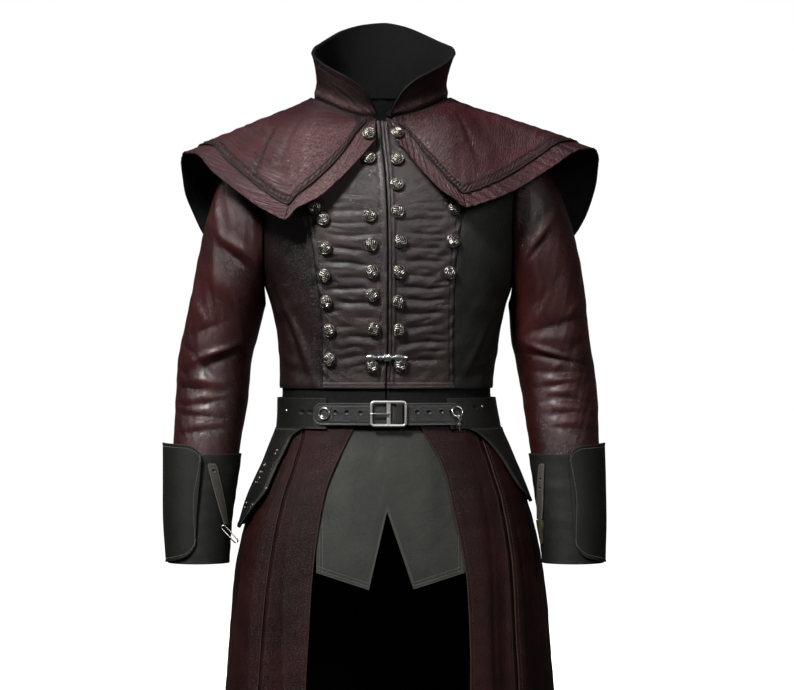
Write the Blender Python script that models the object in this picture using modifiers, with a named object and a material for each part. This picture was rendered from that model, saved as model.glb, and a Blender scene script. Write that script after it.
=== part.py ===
"""A worn leather coat of medieval cut: a waist-length bodice with a ruched button front, a flared
stand collar, a two-layer shoulder cape, long sleeves with turned-back gauntlet flaps, a belt, and
an open skirt over a notched apron. Metres, +Z up, the front faces -Y. The origin is at the neck's
height, where the wearer's shoulders hold the coat. Left and right are the wearer's."""
import functools
import math

import bpy
import numpy as np
from mathutils import Matrix, Vector

LEATHER = 0.002       # thickness of a cloth wall
GAP = 0.0004          # between pieces that touch
SEAM_TURN = 0.0017    # half the gap at a seam, as a turn round the trunk in radians
ROUNDNESS = 0.85      # power of the trunk's section, 1 is an ellipse
SHOULDER_DOWN = 0.085
ARMPIT_DOWN = 0.255
ARMHOLE_FRONT = math.radians(23)   # how far the armhole reaches round the trunk
ARMHOLE_BACK = math.radians(24)
BODICE_HEM = 0.403
WAISTBAND_TOP = 0.397
WAISTBAND_END = 0.461
SKIRT_TOP = 0.432
SKIRT_HEM = 1.10
BELT_TOP, BELT_END = 0.4165, 0.4605
STRAP_TOP, STRAP_END = 0.4235, 0.4545
CAP_END = 0.285       # where the sleeve's head has turned into a straight tube
SLEEVE_END = 0.60
CUFF_TOP, CUFF_END = 0.497, 0.652
BUTTON_RADIUS = 0.0096
BUTTON_HEIGHT = 0.0078
OPENING_HALF = 0.0035               # half the turn of the front opening, in radians
FRONT_TURN = math.radians(4)        # front edges of the cape and the collar
UPPER_TURN = math.radians(12)       # where the cape's upper layer starts
CAPE_OUT, CAPE_UP = 0.0022, 0.0025  # how far the cape's start clears the neck seam
CAPE_BACK_BULGE, CAPE_FRONT_BULGE = 0.034, 0.020
WORN = {-1: "right", 1: "left"}

# How far each piece stands off the surface that it follows, and its thickness.
BAND_INSIDE_TOP, BAND_INSIDE_END = 0.0018, 0.0012
APRON_INSIDE = 0.0015
FLAP_STAND, FLAP_THICK = 0.0024, 0.0024
FLAP_FLARE = {-1: 0.0055, 1: 0.0015}
BELT_STAND, BELT_THICK = 0.0011, 0.0023
STRAP_STAND, STRAP_THICK = 0.0037, 0.0025
CUFF_STAND, CUFF_THICK = 0.0010, 0.0026
TURNBACK_STAND, TURNBACK_THICK = 0.0043, 0.0030
TURNBACK_FLARE = {-1: 0.0085, 1: 0.0015}
CUFF_STRAP_STAND, CUFF_STRAP_THICK = 0.0050, 0.0022
TIP_STAND, TIP_THICK = 0.0044, 0.0036

STRAP_REACH, STRAP_ROUND = 40.5, 5.0    # degrees each way from the front, and of its round end
TURNBACK_START, TURNBACK_END = math.radians(-105), math.radians(88)
TURNBACK_MIDDLE = math.radians(-8.5)
TURNBACK_FLAT, TURNBACK_CORNER = math.radians(72), math.radians(24.5)
TURNBACK_TOP, TURNBACK_ROUND = 0.482, 0.020
WRIST_RADIUS = 0.050                # of a cuff where its strap lies
BUCKLE_WIDTH, BUCKLE_HEIGHT, BUCKLE_BAR, BUCKLE_THICK = 0.052, 0.037, 0.0036, 0.0026
BUCKLE_X, BUCKLE_FRONT, BUCKLE_DOWN = 0.0025, 0.1159, 0.438
PRONG_RADIUS = 0.0014
LOOP_X, LOOP_WIDTH, LOOP_THICK = 0.0155, 0.009, 0.0022
RING_RADIUS, RING_WIRE = 0.0079, 0.0011
RING_TILT = math.radians(20)        # the left ring stands out over its clip
HOOK_RADIUS, HOOK_WIRE = 0.0027, 0.0010
CLASP_X, CLASP_FRONT, CLASP_DOWN = -0.0305, 0.1141, 0.359
LINK_LENGTH, LINK_HALF_WIDTH, LINK_WIRE = 0.031, 0.0030, 0.0011
LINK_LEAN = math.radians(43)
LINK_FORWARD = 0.0085               # the link hangs this far in front of its strap's end


def table(columns, *rows):
    """Rows of numbers as a dict from column name to the array down the rows."""
    return dict(zip(columns.split(), np.array(rows, float).T))


# Sections of the trunk from the neck down. Rim heights are apart only above the chest.
TRUNK = table(
    "down middle half_width front back z_front z_side z_back",
    (0.000, -0.009, 0.098, 0.074, 0.070, -0.022, 0.012, 0.022),
    (0.045, -0.006, 0.142, 0.088, 0.094, -0.060, -0.016, -0.018),
    (0.085, -0.002, 0.184, 0.105, 0.112, -0.098, -0.044, -0.066),
    (0.150, 0.001, 0.194, 0.120, 0.118, -0.155, -0.130, -0.142),
    (0.205, 0.002, 0.190, 0.124, 0.116, -0.206, -0.198, -0.202),
    (0.255, 0.002, 0.179, 0.123, 0.113, -0.255, -0.255, -0.255),
    (0.281, 0.002, 0.171, 0.121, 0.110, -0.281, -0.281, -0.281),
    (0.334, 0.002, 0.160, 0.114, 0.103, -0.334, -0.334, -0.334),
    (0.403, -0.001, 0.1545, 0.105, 0.096, -0.403, -0.403, -0.403),
    (0.455, 0.002, 0.159, 0.108, 0.100, -0.455, -0.455, -0.455),
    (0.507, 0.004, 0.177, 0.116, 0.112, -0.507, -0.507, -0.507),
    (0.560, 0.003, 0.198, 0.124, 0.124, -0.560, -0.560, -0.560),
    (0.664, 0.002, 0.222, 0.138, 0.145, -0.664, -0.664, -0.664),
    (0.841, 0.001, 0.236, 0.155, 0.172, -0.841, -0.841, -0.841),
    (1.120, 0.000, 0.258, 0.176, 0.205, -1.120, -1.120, -1.120))

# Centre and half sizes of each arm, down from the armpit; out is the distance from x = 0.
ARM = {
    -1: table("down out y half_width half_depth",
              (0.280, 0.2310, 0.008, 0.0555, 0.060),
              (0.334, 0.2440, 0.012, 0.0545, 0.061),
              (0.368, 0.2510, 0.011, 0.0535, 0.058),
              (0.420, 0.2540, 0.002, 0.0525, 0.055),
              (0.473, 0.2590, -0.012, 0.0490, 0.051),
              (0.520, 0.2625, -0.024, 0.0465, 0.047),
              (0.600, 0.2680, -0.043, 0.0420, 0.043),
              (0.660, 0.2690, -0.055, 0.0400, 0.041)),
    1: table("down out y half_width half_depth",
             (0.280, 0.2325, 0.008, 0.0565, 0.060),
             (0.334, 0.2375, 0.012, 0.0570, 0.061),
             (0.368, 0.2440, 0.011, 0.0565, 0.058),
             (0.420, 0.2510, 0.002, 0.0545, 0.055),
             (0.473, 0.2550, -0.012, 0.0510, 0.051),
             (0.520, 0.2590, -0.024, 0.0480, 0.047),
             (0.600, 0.2640, -0.043, 0.0430, 0.043),
             (0.660, 0.2660, -0.055, 0.0400, 0.041))}

# Edge of the cape's lower layer round the neck, one half for each side. The upper layer ends at
# the share upper of the way from the neck.
CAPE = {
    -1: table("turn x y z upper",
              (4, -0.0160, -0.100, -0.0500, 0.02),
              (14, -0.0390, -0.112, -0.0780, 0.24),
              (26, -0.0685, -0.124, -0.1100, 0.60),
              (38, -0.0978, -0.132, -0.1350, 0.73),
              (49, -0.1270, -0.137, -0.1500, 0.81),
              (56, -0.1430, -0.136, -0.1650, 0.83),
              (62, -0.1560, -0.131, -0.1600, 0.84),
              (70, -0.1870, -0.118, -0.1420, 0.84),
              (79, -0.2175, -0.098, -0.1185, 0.85),
              (88, -0.2490, -0.072, -0.0930, 0.87),
              (97, -0.2740, -0.045, -0.0665, 0.90),
              (104, -0.2930, -0.018, -0.0630, 0.91),
              (112, -0.3000, 0.015, -0.0790, 0.91),
              (121, -0.2975, 0.045, -0.1135, 0.91),
              (131, -0.2870, 0.072, -0.1460, 0.91),
              (142, -0.2600, 0.098, -0.1950, 0.92),
              (155, -0.1950, 0.124, -0.2300, 0.92),
              (168, -0.1080, 0.140, -0.2480, 0.93),
              (180, 0.0000, 0.146, -0.2540, 0.93)),
    1: table("turn x y z upper",
             (4, 0.0150, -0.100, -0.0500, 0.02),
             (14, 0.0370, -0.112, -0.0795, 0.24),
             (26, 0.0567, -0.124, -0.1030, 0.60),
             (38, 0.0763, -0.132, -0.1230, 0.73),
             (49, 0.0960, -0.136, -0.1365, 0.81),
             (56, 0.1115, -0.136, -0.1475, 0.83),
             (62, 0.1250, -0.132, -0.1445, 0.84),
             (70, 0.1560, -0.120, -0.1335, 0.84),
             (79, 0.1890, -0.100, -0.1175, 0.86),
             (88, 0.2330, -0.072, -0.0890, 0.88),
             (97, 0.2760, -0.045, -0.0610, 0.90),
             (104, 0.2990, -0.018, -0.0570, 0.91),
             (112, 0.3085, 0.015, -0.0720, 0.91),
             (121, 0.3080, 0.045, -0.0965, 0.91),
             (131, 0.2990, 0.072, -0.1370, 0.91),
             (142, 0.2700, 0.098, -0.1880, 0.92),
             (155, 0.1980, 0.124, -0.2280, 0.92),
             (168, 0.1080, 0.140, -0.2480, 0.93),
             (180, 0.0000, 0.146, -0.2540, 0.93))}

# Free edge of the collar, from the front opening round to the centre of the back.
RIM = {
    -1: table("turn x y z",
              (4, 0.008, -0.076, -0.014), (14, 0.018, -0.083, 0.003), (26, 0.029, -0.086, 0.020),
              (38, 0.047, -0.084, 0.035), (50, 0.070, -0.076, 0.048), (62, 0.088, -0.064, 0.059),
              (72, 0.103, -0.046, 0.0755), (82, 0.100, -0.026, 0.086), (95, 0.093, 0.000, 0.094),
              (112, 0.081, 0.028, 0.105), (132, 0.062, 0.056, 0.1185), (156, 0.033, 0.082, 0.129),
              (180, 0.000, 0.092, 0.1325)),
    1: table("turn x y z",
             (4, 0.008, -0.076, -0.014), (14, 0.018, -0.083, 0.003), (26, 0.029, -0.086, 0.020),
             (38, 0.047, -0.084, 0.035), (50, 0.070, -0.076, 0.048), (62, 0.088, -0.064, 0.059),
             (72, 0.103, -0.046, 0.0755), (82, 0.100, -0.026, 0.0855), (95, 0.093, 0.000, 0.092),
             (112, 0.080, 0.028, 0.1005), (132, 0.061, 0.056, 0.1125), (156, 0.032, 0.082, 0.1265),
             (180, 0.000, 0.092, 0.1325))}

# Horizontal gathers of the button fronts: height of each trough, its depth and where it starts
# and ends across the panel, as shares from the centre seam.
GATHERS = {
    -1: table("down depth start end",
              (0.124, 0.0010, 0.15, 0.80),
              (0.147, 0.0018, 0.05, 0.70),
              (0.166, 0.0012, 0.10, 0.95),
              (0.184, 0.0020, 0.05, 0.75),
              (0.205, 0.0026, 0.20, 0.90),
              (0.226, 0.0028, 0.05, 0.95),
              (0.247, 0.0016, 0.10, 0.70),
              (0.263, 0.0024, 0.15, 0.95),
              (0.283, 0.0026, 0.05, 0.80),
              (0.303, 0.0018, 0.05, 0.55),
              (0.331, 0.0020, 0.05, 0.75),
              (0.358, 0.0018, 0.15, 0.95)),
    1: table("down depth start end",
             (0.139, 0.0010, 0.15, 0.80),
             (0.163, 0.0016, 0.10, 0.80),
             (0.184, 0.0012, 0.15, 0.90),
             (0.204, 0.0016, 0.05, 0.80),
             (0.222, 0.0020, 0.10, 0.90),
             (0.243, 0.0016, 0.10, 0.80),
             (0.260, 0.0024, 0.05, 0.95),
             (0.277, 0.0024, 0.10, 0.95),
             (0.296, 0.0020, 0.10, 0.90),
             (0.315, 0.0016, 0.05, 0.80),
             (0.338, 0.0022, 0.10, 0.95),
             (0.364, 0.0020, 0.10, 0.85))}

# Largest folds of each sleeve: place round the arm from its outer side through the front, place
# down, reach each way, slant in metres down per radian, and height, negative for a trough.
SLEEVE_FOLDS = {
    -1: table("turn down round_reach down_reach slant height",
              (0.9, 0.190, 0.9, 0.016, 0.050, 0.0040),
              (1.5, 0.215, 0.8, 0.012, 0.060, -0.0035),
              (1.8, 0.262, 0.8, 0.014, 0.040, 0.0035),
              (2.0, 0.325, 0.9, 0.011, -0.030, -0.0040),
              (1.9, 0.345, 1.0, 0.010, -0.020, 0.0035),
              (1.5, 0.366, 1.1, 0.008, -0.015, -0.0030),
              (1.7, 0.384, 1.1, 0.009, -0.010, 0.0034),
              (1.4, 0.404, 1.0, 0.008, 0.010, -0.0030),
              (1.8, 0.422, 1.0, 0.009, 0.014, 0.0030),
              (1.3, 0.443, 1.0, 0.008, 0.010, -0.0026),
              (1.8, 0.462, 0.9, 0.009, 0.000, 0.0026),
              (4.6, 0.340, 1.0, 0.012, 0.020, 0.0030),
              (4.6, 0.375, 1.0, 0.012, 0.010, -0.0030)),
    1: table("turn down round_reach down_reach slant height",
             (1.0, 0.185, 0.9, 0.016, 0.045, 0.0035),
             (1.6, 0.220, 0.8, 0.012, 0.055, -0.0035),
             (1.9, 0.262, 0.8, 0.014, 0.030, 0.0030),
             (1.6, 0.305, 1.1, 0.011, 0.020, -0.0045),
             (1.5, 0.326, 1.1, 0.010, 0.015, 0.0035),
             (1.4, 0.350, 1.0, 0.009, 0.010, -0.0030),
             (1.8, 0.371, 1.0, 0.010, 0.000, 0.0032),
             (1.4, 0.395, 1.0, 0.008, -0.010, -0.0028),
             (1.7, 0.414, 1.0, 0.009, -0.012, 0.0030),
             (1.3, 0.436, 1.0, 0.008, -0.010, -0.0026),
             (1.7, 0.458, 0.9, 0.009, 0.000, 0.0026),
             (4.6, 0.335, 1.0, 0.012, -0.020, 0.0030),
             (4.6, 0.372, 1.0, 0.012, -0.010, -0.0030))}

# Vertical folds of the skirt: place round the trunk in degrees, width, and height at the hem.
SKIRT_FOLDS = table(
    "turn width height",
    (-150, 9, 0.011), (-128, 8, -0.008), (-106, 9, 0.012), (-84, 8, -0.009),
    (-62, 8, 0.008), (-46, 5, -0.005), (38, 4, 0.005), (46, 4, -0.006),
    (56, 4, 0.006), (66, 5, -0.006), (84, 8, 0.010), (106, 8, -0.009),
    (128, 9, 0.011), (150, 8, -0.009), (180, 10, 0.008), (-180, 10, 0.008))

# Edges of the pieces as distances across the front at each height.
PLASTRON_EDGE = {
    -1: table("down x", (0.000, -0.075), (0.085, -0.130), (0.150, -0.116), (0.170, -0.113),
              (0.201, -0.106), (0.243, -0.100), (0.329, -0.092), (0.403, -0.092)),
    1: table("down x", (0.000, 0.070), (0.085, 0.122), (0.150, 0.108), (0.170, 0.1065),
             (0.201, 0.102), (0.243, 0.098), (0.329, 0.096), (0.403, 0.097))}
SKIRT_EDGE = {
    -1: table("down x", (0.432, -0.034), (0.458, -0.046), (0.496, -0.065), (0.548, -0.086),
              (0.614, -0.098), (0.678, -0.105), (0.730, -0.108), (0.823, -0.113), (1.10, -0.118)),
    1: table("down x", (0.432, 0.034), (0.458, 0.048), (0.515, 0.0795), (0.581, 0.095),
             (0.640, 0.1075), (0.678, 0.113), (0.781, 0.117), (0.824, 0.117), (1.10, 0.120))}
SKIRT_SEAM = {
    -1: table("down turn", (0.432, -50), (0.540, -50), (0.620, -50), (0.757, -51), (1.10, -52)),
    1: table("down turn", (0.432, 54), (0.540, 54), (0.620, 53), (0.757, 52), (1.10, 52))}
FLAP_EDGE = {
    -1: table("down turn", (0.461, -49), (0.473, -56), (0.496, -58), (0.516, -60),
              (0.546, -60), (0.573, -66), (0.606, -78)),
    1: table("down turn", (0.461, 44), (0.466, 49), (0.501, 62), (0.527, 67),
             (0.546, 71), (0.568, 80))}
FLAP_BACK_TURN = 118   # degrees, where a hip flap ends behind the hip
APRON = table("x down", (-0.100, 0.661), (-0.025, 0.684), (0.0005, 0.575), (0.038, 0.683),
              (0.111, 0.661))

# Button centres across and down each front. The top one of each inner row holds the cape's corner:
# its turn in degrees, and its step down the cape.
TOP_BUTTONS = {"inner_right": (-8.3, 1.52), "inner_left": (6.8, 1.55)}
BUTTONS = {
    "inner_right": table("x down", (-0.0250, 0.0645), (-0.0235, 0.1546), (-0.0220, 0.1986),
                         (-0.0206, 0.238), (-0.0206, 0.2705), (-0.0179, 0.318)),
    "outer_right": table("x down", (-0.0886, 0.1637), (-0.0857, 0.2047), (-0.0872, 0.243),
                         (-0.0845, 0.280), (-0.0803, 0.3195), (-0.0804, 0.3606)),
    "inner_left": table("x down", (0.0145, 0.066), (0.0145, 0.1045), (0.0152, 0.148),
                        (0.0187, 0.1937), (0.0173, 0.238), (0.0159, 0.280), (0.0173, 0.3195)),
    "outer_left": table("x down", (0.0949, 0.1497), (0.0921, 0.1952), (0.0879, 0.239))}

# Straps that hang over the under cuffs, and the metal tip of the left one.
CUFF_STRAP = {
    -1: table("down out half_width", (0.511, 0.2490, 0.0045), (0.5145, 0.2482, 0.0062),
              (0.545, 0.2405, 0.0066), (0.575, 0.2335, 0.0060), (0.597, 0.2290, 0.0040)),
    1: table("down out half_width", (0.511, 0.2215, 0.0032), (0.5145, 0.2210, 0.0045),
             (0.545, 0.2190, 0.0062), (0.575, 0.2180, 0.0080), (0.590, 0.2175, 0.0080))}
CUFF_TIP = table("down half_width", (0.5908, 0.0086), (0.598, 0.0084), (0.612, 0.0045),
                 (0.624, 0.0012))
BUCKLE_WINDOWS = table("x width", (-0.0122, 0.0205), (0.0124, 0.0200))
BELT_RINGS = {-1: table("x down", (-0.086, 0.4385)), 1: table("x down", (0.0955, 0.4290))}
CLASP = table("radius along", (0.0, 0.0), (0.0012, 0.0015), (0.0026, 0.006), (0.0030, 0.012),
              (0.0017, 0.015), (0.0017, 0.0255), (0.0034, 0.0265), (0.0034, 0.0365),
              (0.0017, 0.0375), (0.0017, 0.0400), (0.0030, 0.0430), (0.0028, 0.0520),
              (0.0013, 0.0595), (0.0, 0.0605))

MAROON = (0.085, 0.020, 0.024)
BROWN = (0.075, 0.035, 0.035)
BLACK = (0.012, 0.012, 0.012)
GREY = (0.030, 0.032, 0.030)
SILVER = (0.60, 0.58, 0.53)
OLD_SILVER = (0.30, 0.27, 0.23)

for old in list(bpy.data.objects):
    bpy.data.objects.remove(old, do_unlink=True)
coat = bpy.data.collections.new("leather_coat")
bpy.context.scene.collection.children.link(coat)


def curve(at, knots, values):
    """Cubic through the knots, each slope the harmonic mean of the chords beside it, 0 at a turn."""
    at = np.clip(at, knots[0], knots[-1])
    step = np.diff(knots)
    chord = np.diff(values) / step
    before, after = chord[:-1], chord[1:]
    same = before * after > 0
    total = np.where(same, before + after, 1.0)
    inner = np.where(same, 2 * before * after / total, 0.0)
    slope = np.concatenate([chord[:1], inner, chord[-1:]])
    k = np.clip(np.searchsorted(knots, at, side="right") - 1, 0, len(knots) - 2)
    t = (at - knots[k]) / step[k]
    return (values[k] * (1 + 2 * t) * (1 - t)**2 + slope[k] * step[k] * t * (1 - t)**2
            + values[k + 1] * t * t * (3 - 2 * t) + slope[k + 1] * step[k] * t * t * (t - 1))


def bump(offset, reach):
    """Bell shape, 1 at offset 0."""
    return np.exp(-(offset / reach)**2)


def trunk(turn, down):
    """Trunk: x = middle + half_width sin(turn), y = -depth |cos(turn)|^ROUNDNESS with cos's sign,
    z = z_side + (rim - z_side) cos^2(turn), each size read from TRUNK at down."""
    size = {name: curve(down, TRUNK["down"], TRUNK[name]) for name in TRUNK}
    sine, cosine = np.sin(turn), np.cos(turn)
    depth = np.where(cosine > 0, size["front"], size["back"])
    rim = np.where(cosine > 0, size["z_front"], size["z_back"])
    x = size["middle"] + size["half_width"] * sine
    y = -np.sign(cosine) * depth * np.abs(cosine)**ROUNDNESS
    z = size["z_side"] + (rim - size["z_side"]) * cosine**2
    return np.stack([x, y, z], -1)


def turn_at(x, down):
    """Turn on the front of the trunk where it reaches x."""
    middle = curve(down, TRUNK["down"], TRUNK["middle"])
    half_width = curve(down, TRUNK["down"], TRUNK["half_width"])
    return np.arcsin(np.clip((x - middle) / half_width, -1, 1))


def skirt(turn, down):
    """Trunk with soft vertical folds that grow from the waist to the hem."""
    points = trunk(turn, down)
    growth = np.clip((down - 0.50) / (SKIRT_HEM - 0.50), 0, 1)
    height = 0.0
    for at, width, size in zip(*SKIRT_FOLDS.values()):
        height = height + size * bump(np.degrees(turn) - at, width)
    outward = np.stack([np.sin(turn), -np.cos(turn), np.zeros_like(turn)], -1)
    return points + outward * (height * growth)[..., None]


def front(side):
    """Button front of one side: the trunk, gathered in troughs between its two seams. A button
    holds the leather out round itself."""
    def surface(turn, down):
        points = trunk(turn, down)
        seam = turn_at(curve(down, PLASTRON_EDGE[side]["down"], PLASTRON_EDGE[side]["x"]), down)
        share = turn / seam
        depth = 0.0
        for at, size, start, end in zip(*GATHERS[side].values()):
            inside = np.clip((share - start) / 0.12, 0, 1) * np.clip((end - share) / 0.12, 0, 1)
            depth = depth + size * bump(down - at, 0.0055) * inside
        for rows in BUTTONS.values():
            for x, at in zip(rows["x"], rows["down"]):
                depth = depth * (1 - bump(np.hypot(points[..., 0] - x, down - at), 0.011))
        outward = np.stack([np.sin(turn), -np.cos(turn), np.zeros_like(turn)], -1)
        return points - outward * depth[..., None]
    return surface


def armhole(side, turn):
    """Loop of the arm's opening on the trunk; turn 0 is the shoulder, a quarter turn the front."""
    down = SHOULDER_DOWN + (ARMPIT_DOWN - SHOULDER_DOWN) * (1 - np.cos(turn)) / 2
    reach = np.where(np.sin(turn) > 0, ARMHOLE_FRONT, ARMHOLE_BACK)
    return trunk(side * (math.pi / 2 - reach * np.sin(turn)), down)


def arm_tube(side, turn, down):
    """Tube of the arm: an ellipse round the arm's centre at each height."""
    size = {name: curve(down, ARM[side]["down"], ARM[side][name]) for name in ARM[side]}
    x = side * (size["out"] + size["half_width"] * np.cos(turn))
    y = size["y"] - size["half_depth"] * np.sin(turn)
    return np.stack([x, y, -down + 0 * turn], -1)


def sleeve(side):
    """Sleeve of one side. along 0 to 1 is the head, a cubic from the armhole to the tube that
    leaves outward and arrives straight down; past 1 it is the tube, in metres down."""
    def surface(turn, along):
        share = np.clip(along, 0, 1)
        down = CAP_END + np.maximum(along - 1, 0)
        start = armhole(side, turn)
        end = arm_tube(side, turn, CAP_END + 0 * turn)
        reach = np.linalg.norm(end - start, axis=-1)[..., None] * 0.85
        low = (1 - np.cos(turn)) / 2
        leave = np.stack([side * (1 - 0.75 * low), -0.35 * np.sin(turn), -0.30 - 0.7 * low], -1)
        leave = leave / np.linalg.norm(leave, axis=-1)[..., None]
        arrive = (arm_tube(side, turn, CAP_END + 0.001 + 0 * turn) - end) / 0.001
        s = share[..., None]
        head = (start * (1 + 2 * s) * (1 - s)**2 + leave * reach * s * (1 - s)**2
                + end * s * s * (3 - 2 * s) + arrive * reach * s * s * (s - 1))
        points = np.where(along[..., None] < 1, head, arm_tube(side, turn, down))
        height = 0.0
        fade = np.clip((-points[..., 2] - 0.12) / 0.05, 0, 1)
        for at, depth, wide, tall, slant, size in zip(*SLEEVE_FOLDS[side].values()):
            offset = (turn - at + math.pi) % (2 * math.pi) - math.pi
            below = -points[..., 2] - depth - slant * offset
            height = height + size * bump(offset, wide) * bump(below, tall)
        outward = np.stack([side * np.cos(turn), -np.sin(turn), np.zeros_like(turn)], -1)
        inner_side = 0.15 + 0.85 * np.clip(1 + np.cos(turn), 0, 1)
        return points + outward * (height * fade * inner_side)[..., None]
    return surface


def half_table(rows, side, turn, name):
    """Value of a column at a turn from the front, for one side."""
    return curve(np.degrees(np.abs(turn)), rows[side]["turn"], rows[side][name])


def neck_ring(turn):
    """Seam round the neck where the collar and the cape meet the bodice."""
    return trunk(turn, 0 * turn)


def cape(turn, share):
    """Cape: from the neck seam, moved out past the collar, to the hem of CAPE, bulged in between
    so that it clears the shoulders and the back."""
    hem = np.stack([np.where(turn < 0, half_table(CAPE, -1, turn, name),
                             half_table(CAPE, 1, turn, name)) for name in ("x", "y", "z")], -1)
    start = neck_ring(turn)
    outward = np.stack([np.sin(turn), -np.cos(turn), np.zeros_like(turn)], -1)
    start = start + outward * CAPE_OUT + np.array([0, 0, CAPE_UP])
    degrees = np.degrees(np.abs(turn))
    back = np.clip((degrees - 100) / 60, 0, 1)
    height = CAPE_BACK_BULGE * back * back * (3 - 2 * back) + CAPE_FRONT_BULGE * bump(degrees - 55, 28)
    hump = 6.75 * share * (1 - share)**2    # 1 at its highest, a third of the way down
    direction = outward * 0.85 + np.array([0, 0, 0.5])
    s = share[..., None]
    return start + (hem - start) * s + direction * (height * hump)[..., None]


def cape_share(turn, step):
    """Share down the cape for a step: 0 to 1 under the upper layer, 1 to 2 in the border."""
    upper = np.where(turn < 0, half_table(CAPE, -1, turn, "upper"), half_table(CAPE, 1, turn, "upper"))
    return np.where(step <= 1, upper * step, upper + (1 - upper) * (step - 1))


def collar(turn, share):
    """Stand collar: from the neck seam in to a waist at mid height, then flared to RIM. Past 1 it
    runs on in the same direction."""
    rim = np.stack([np.where(turn < 0, half_table(RIM, -1, turn, name),
                             half_table(RIM, 1, turn, name)) for name in "xyz"], -1)
    rim[..., 0] = np.sign(turn) * rim[..., 0] - 0.005
    start = neck_ring(turn) + np.array([0, 0, GAP + 0.0002])
    s = share[..., None]
    tall = np.linalg.norm(rim - start, axis=-1)
    pinch = 0.42 * tall * (share * (1 - np.clip(share, 0, 1)) * 0.55)
    outward = np.stack([np.sin(turn), -np.cos(turn), np.zeros_like(turn)], -1)
    return start + (rim - start) * s - outward * pinch[..., None]


def normals(surface, across, along):
    """Outward unit normals by central differences."""
    small = 1e-4
    right = surface(across + small, along) - surface(across - small, along)
    downward = surface(across, along + small) - surface(across, along - small)
    normal = np.cross(downward, right)
    return normal / np.linalg.norm(normal, axis=-1)[..., None]


def material(name, colour, roughness, metallic=0.0):
    made = bpy.data.materials.get(name) or bpy.data.materials.new(name)
    made.use_nodes = True
    shader = made.node_tree.nodes["Principled BSDF"]
    shader.inputs["Base Color"].default_value = (*colour, 1)
    shader.inputs["Roughness"].default_value = roughness
    shader.inputs["Metallic"].default_value = metallic
    return made


def add_mesh(name, points, faces, finish):
    """New object of the given points and faces, smooth but for its sharp edges."""
    mesh = bpy.data.meshes.new(name)
    mesh.from_pydata([tuple(point) for point in points], [], faces)
    mesh.materials.append(finish)
    mesh.update()
    made = bpy.data.objects.new(name, mesh)
    coat.objects.link(made)
    mesh.shade_smooth()
    mesh.set_sharp_from_angle(angle=math.radians(50))
    return made


def wall(name, surface, across, along, inner, outer, finish, closed=False, mirrored=False):
    """A cloth wall: the points of a surface on a grid, moved along its normals by inner and outer,
    and closed round its edges. closed joins the last column to the first."""
    across, along = np.broadcast_arrays(across, along)
    across, along = across.astype(float), along.astype(float)
    points = surface(across, along)
    normal = normals(surface, across, along) * (-1 if mirrored else 1)
    skins = [points + normal * np.broadcast_to(offset, across.shape)[..., None]
             for offset in (outer, inner)]
    rows, columns = across.shape
    spans = columns if closed else columns - 1

    def at(skin, row, column):
        return skin * rows * columns + row * columns + column % columns

    faces = []
    for row in range(rows - 1):
        for column in range(spans):
            faces.append([at(0, row, column), at(0, row + 1, column),
                          at(0, row + 1, column + 1), at(0, row, column + 1)])
            faces.append([at(1, row, column), at(1, row, column + 1),
                          at(1, row + 1, column + 1), at(1, row + 1, column)])
    for column in range(spans):
        faces.append([at(0, 0, column), at(0, 0, column + 1), at(1, 0, column + 1), at(1, 0, column)])
        last = rows - 1
        faces.append([at(0, last, column + 1), at(0, last, column),
                      at(1, last, column), at(1, last, column + 1)])
    if not closed:
        for row in range(rows - 1):
            faces.append([at(0, row + 1, 0), at(0, row, 0), at(1, row, 0), at(1, row + 1, 0)])
            end = columns - 1
            faces.append([at(0, row, end), at(0, row + 1, end),
                          at(1, row + 1, end), at(1, row, end)])
    if mirrored:
        faces = [face[::-1] for face in faces]
    return add_mesh(name, np.concatenate([skin.reshape(-1, 3) for skin in skins]), faces, finish)


def panel(name, surface, left, right, downs, columns, inner, outer, finish):
    """A wall between two edges, given as the turn at each height, left the smaller turn."""
    downs = np.asarray(downs, float)[:, None]
    share = np.linspace(0, 1, columns)[None, :]
    left = np.asarray(left, float)[:, None] + SEAM_TURN
    right = np.asarray(right, float)[:, None] - SEAM_TURN
    return wall(name, surface, left + (right - left) * share, downs, inner, outer, finish)


def armhole_edge(down, reach):
    """Turn from the side seam to the armhole's edge at each height; 0 above and below it."""
    share = np.clip((down - SHOULDER_DOWN) / (ARMPIT_DOWN - SHOULDER_DOWN), 0, 1)
    return reach * np.sqrt(np.clip(1 - (1 - 2 * share)**2, 0, 1))


def edge(rows, down, name="x"):
    return curve(down, rows["down"], rows[name])


maroon = material("maroon_leather", MAROON, 0.42)
brown = material("brown_leather", BROWN, 0.40)
black = material("black_leather", BLACK, 0.50)
grey = material("grey_leather", GREY, 0.55)
silver = material("polished_silver", SILVER, 0.25, 1.0)
old_silver = material("antique_silver", OLD_SILVER, 0.40, 1.0)

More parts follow.
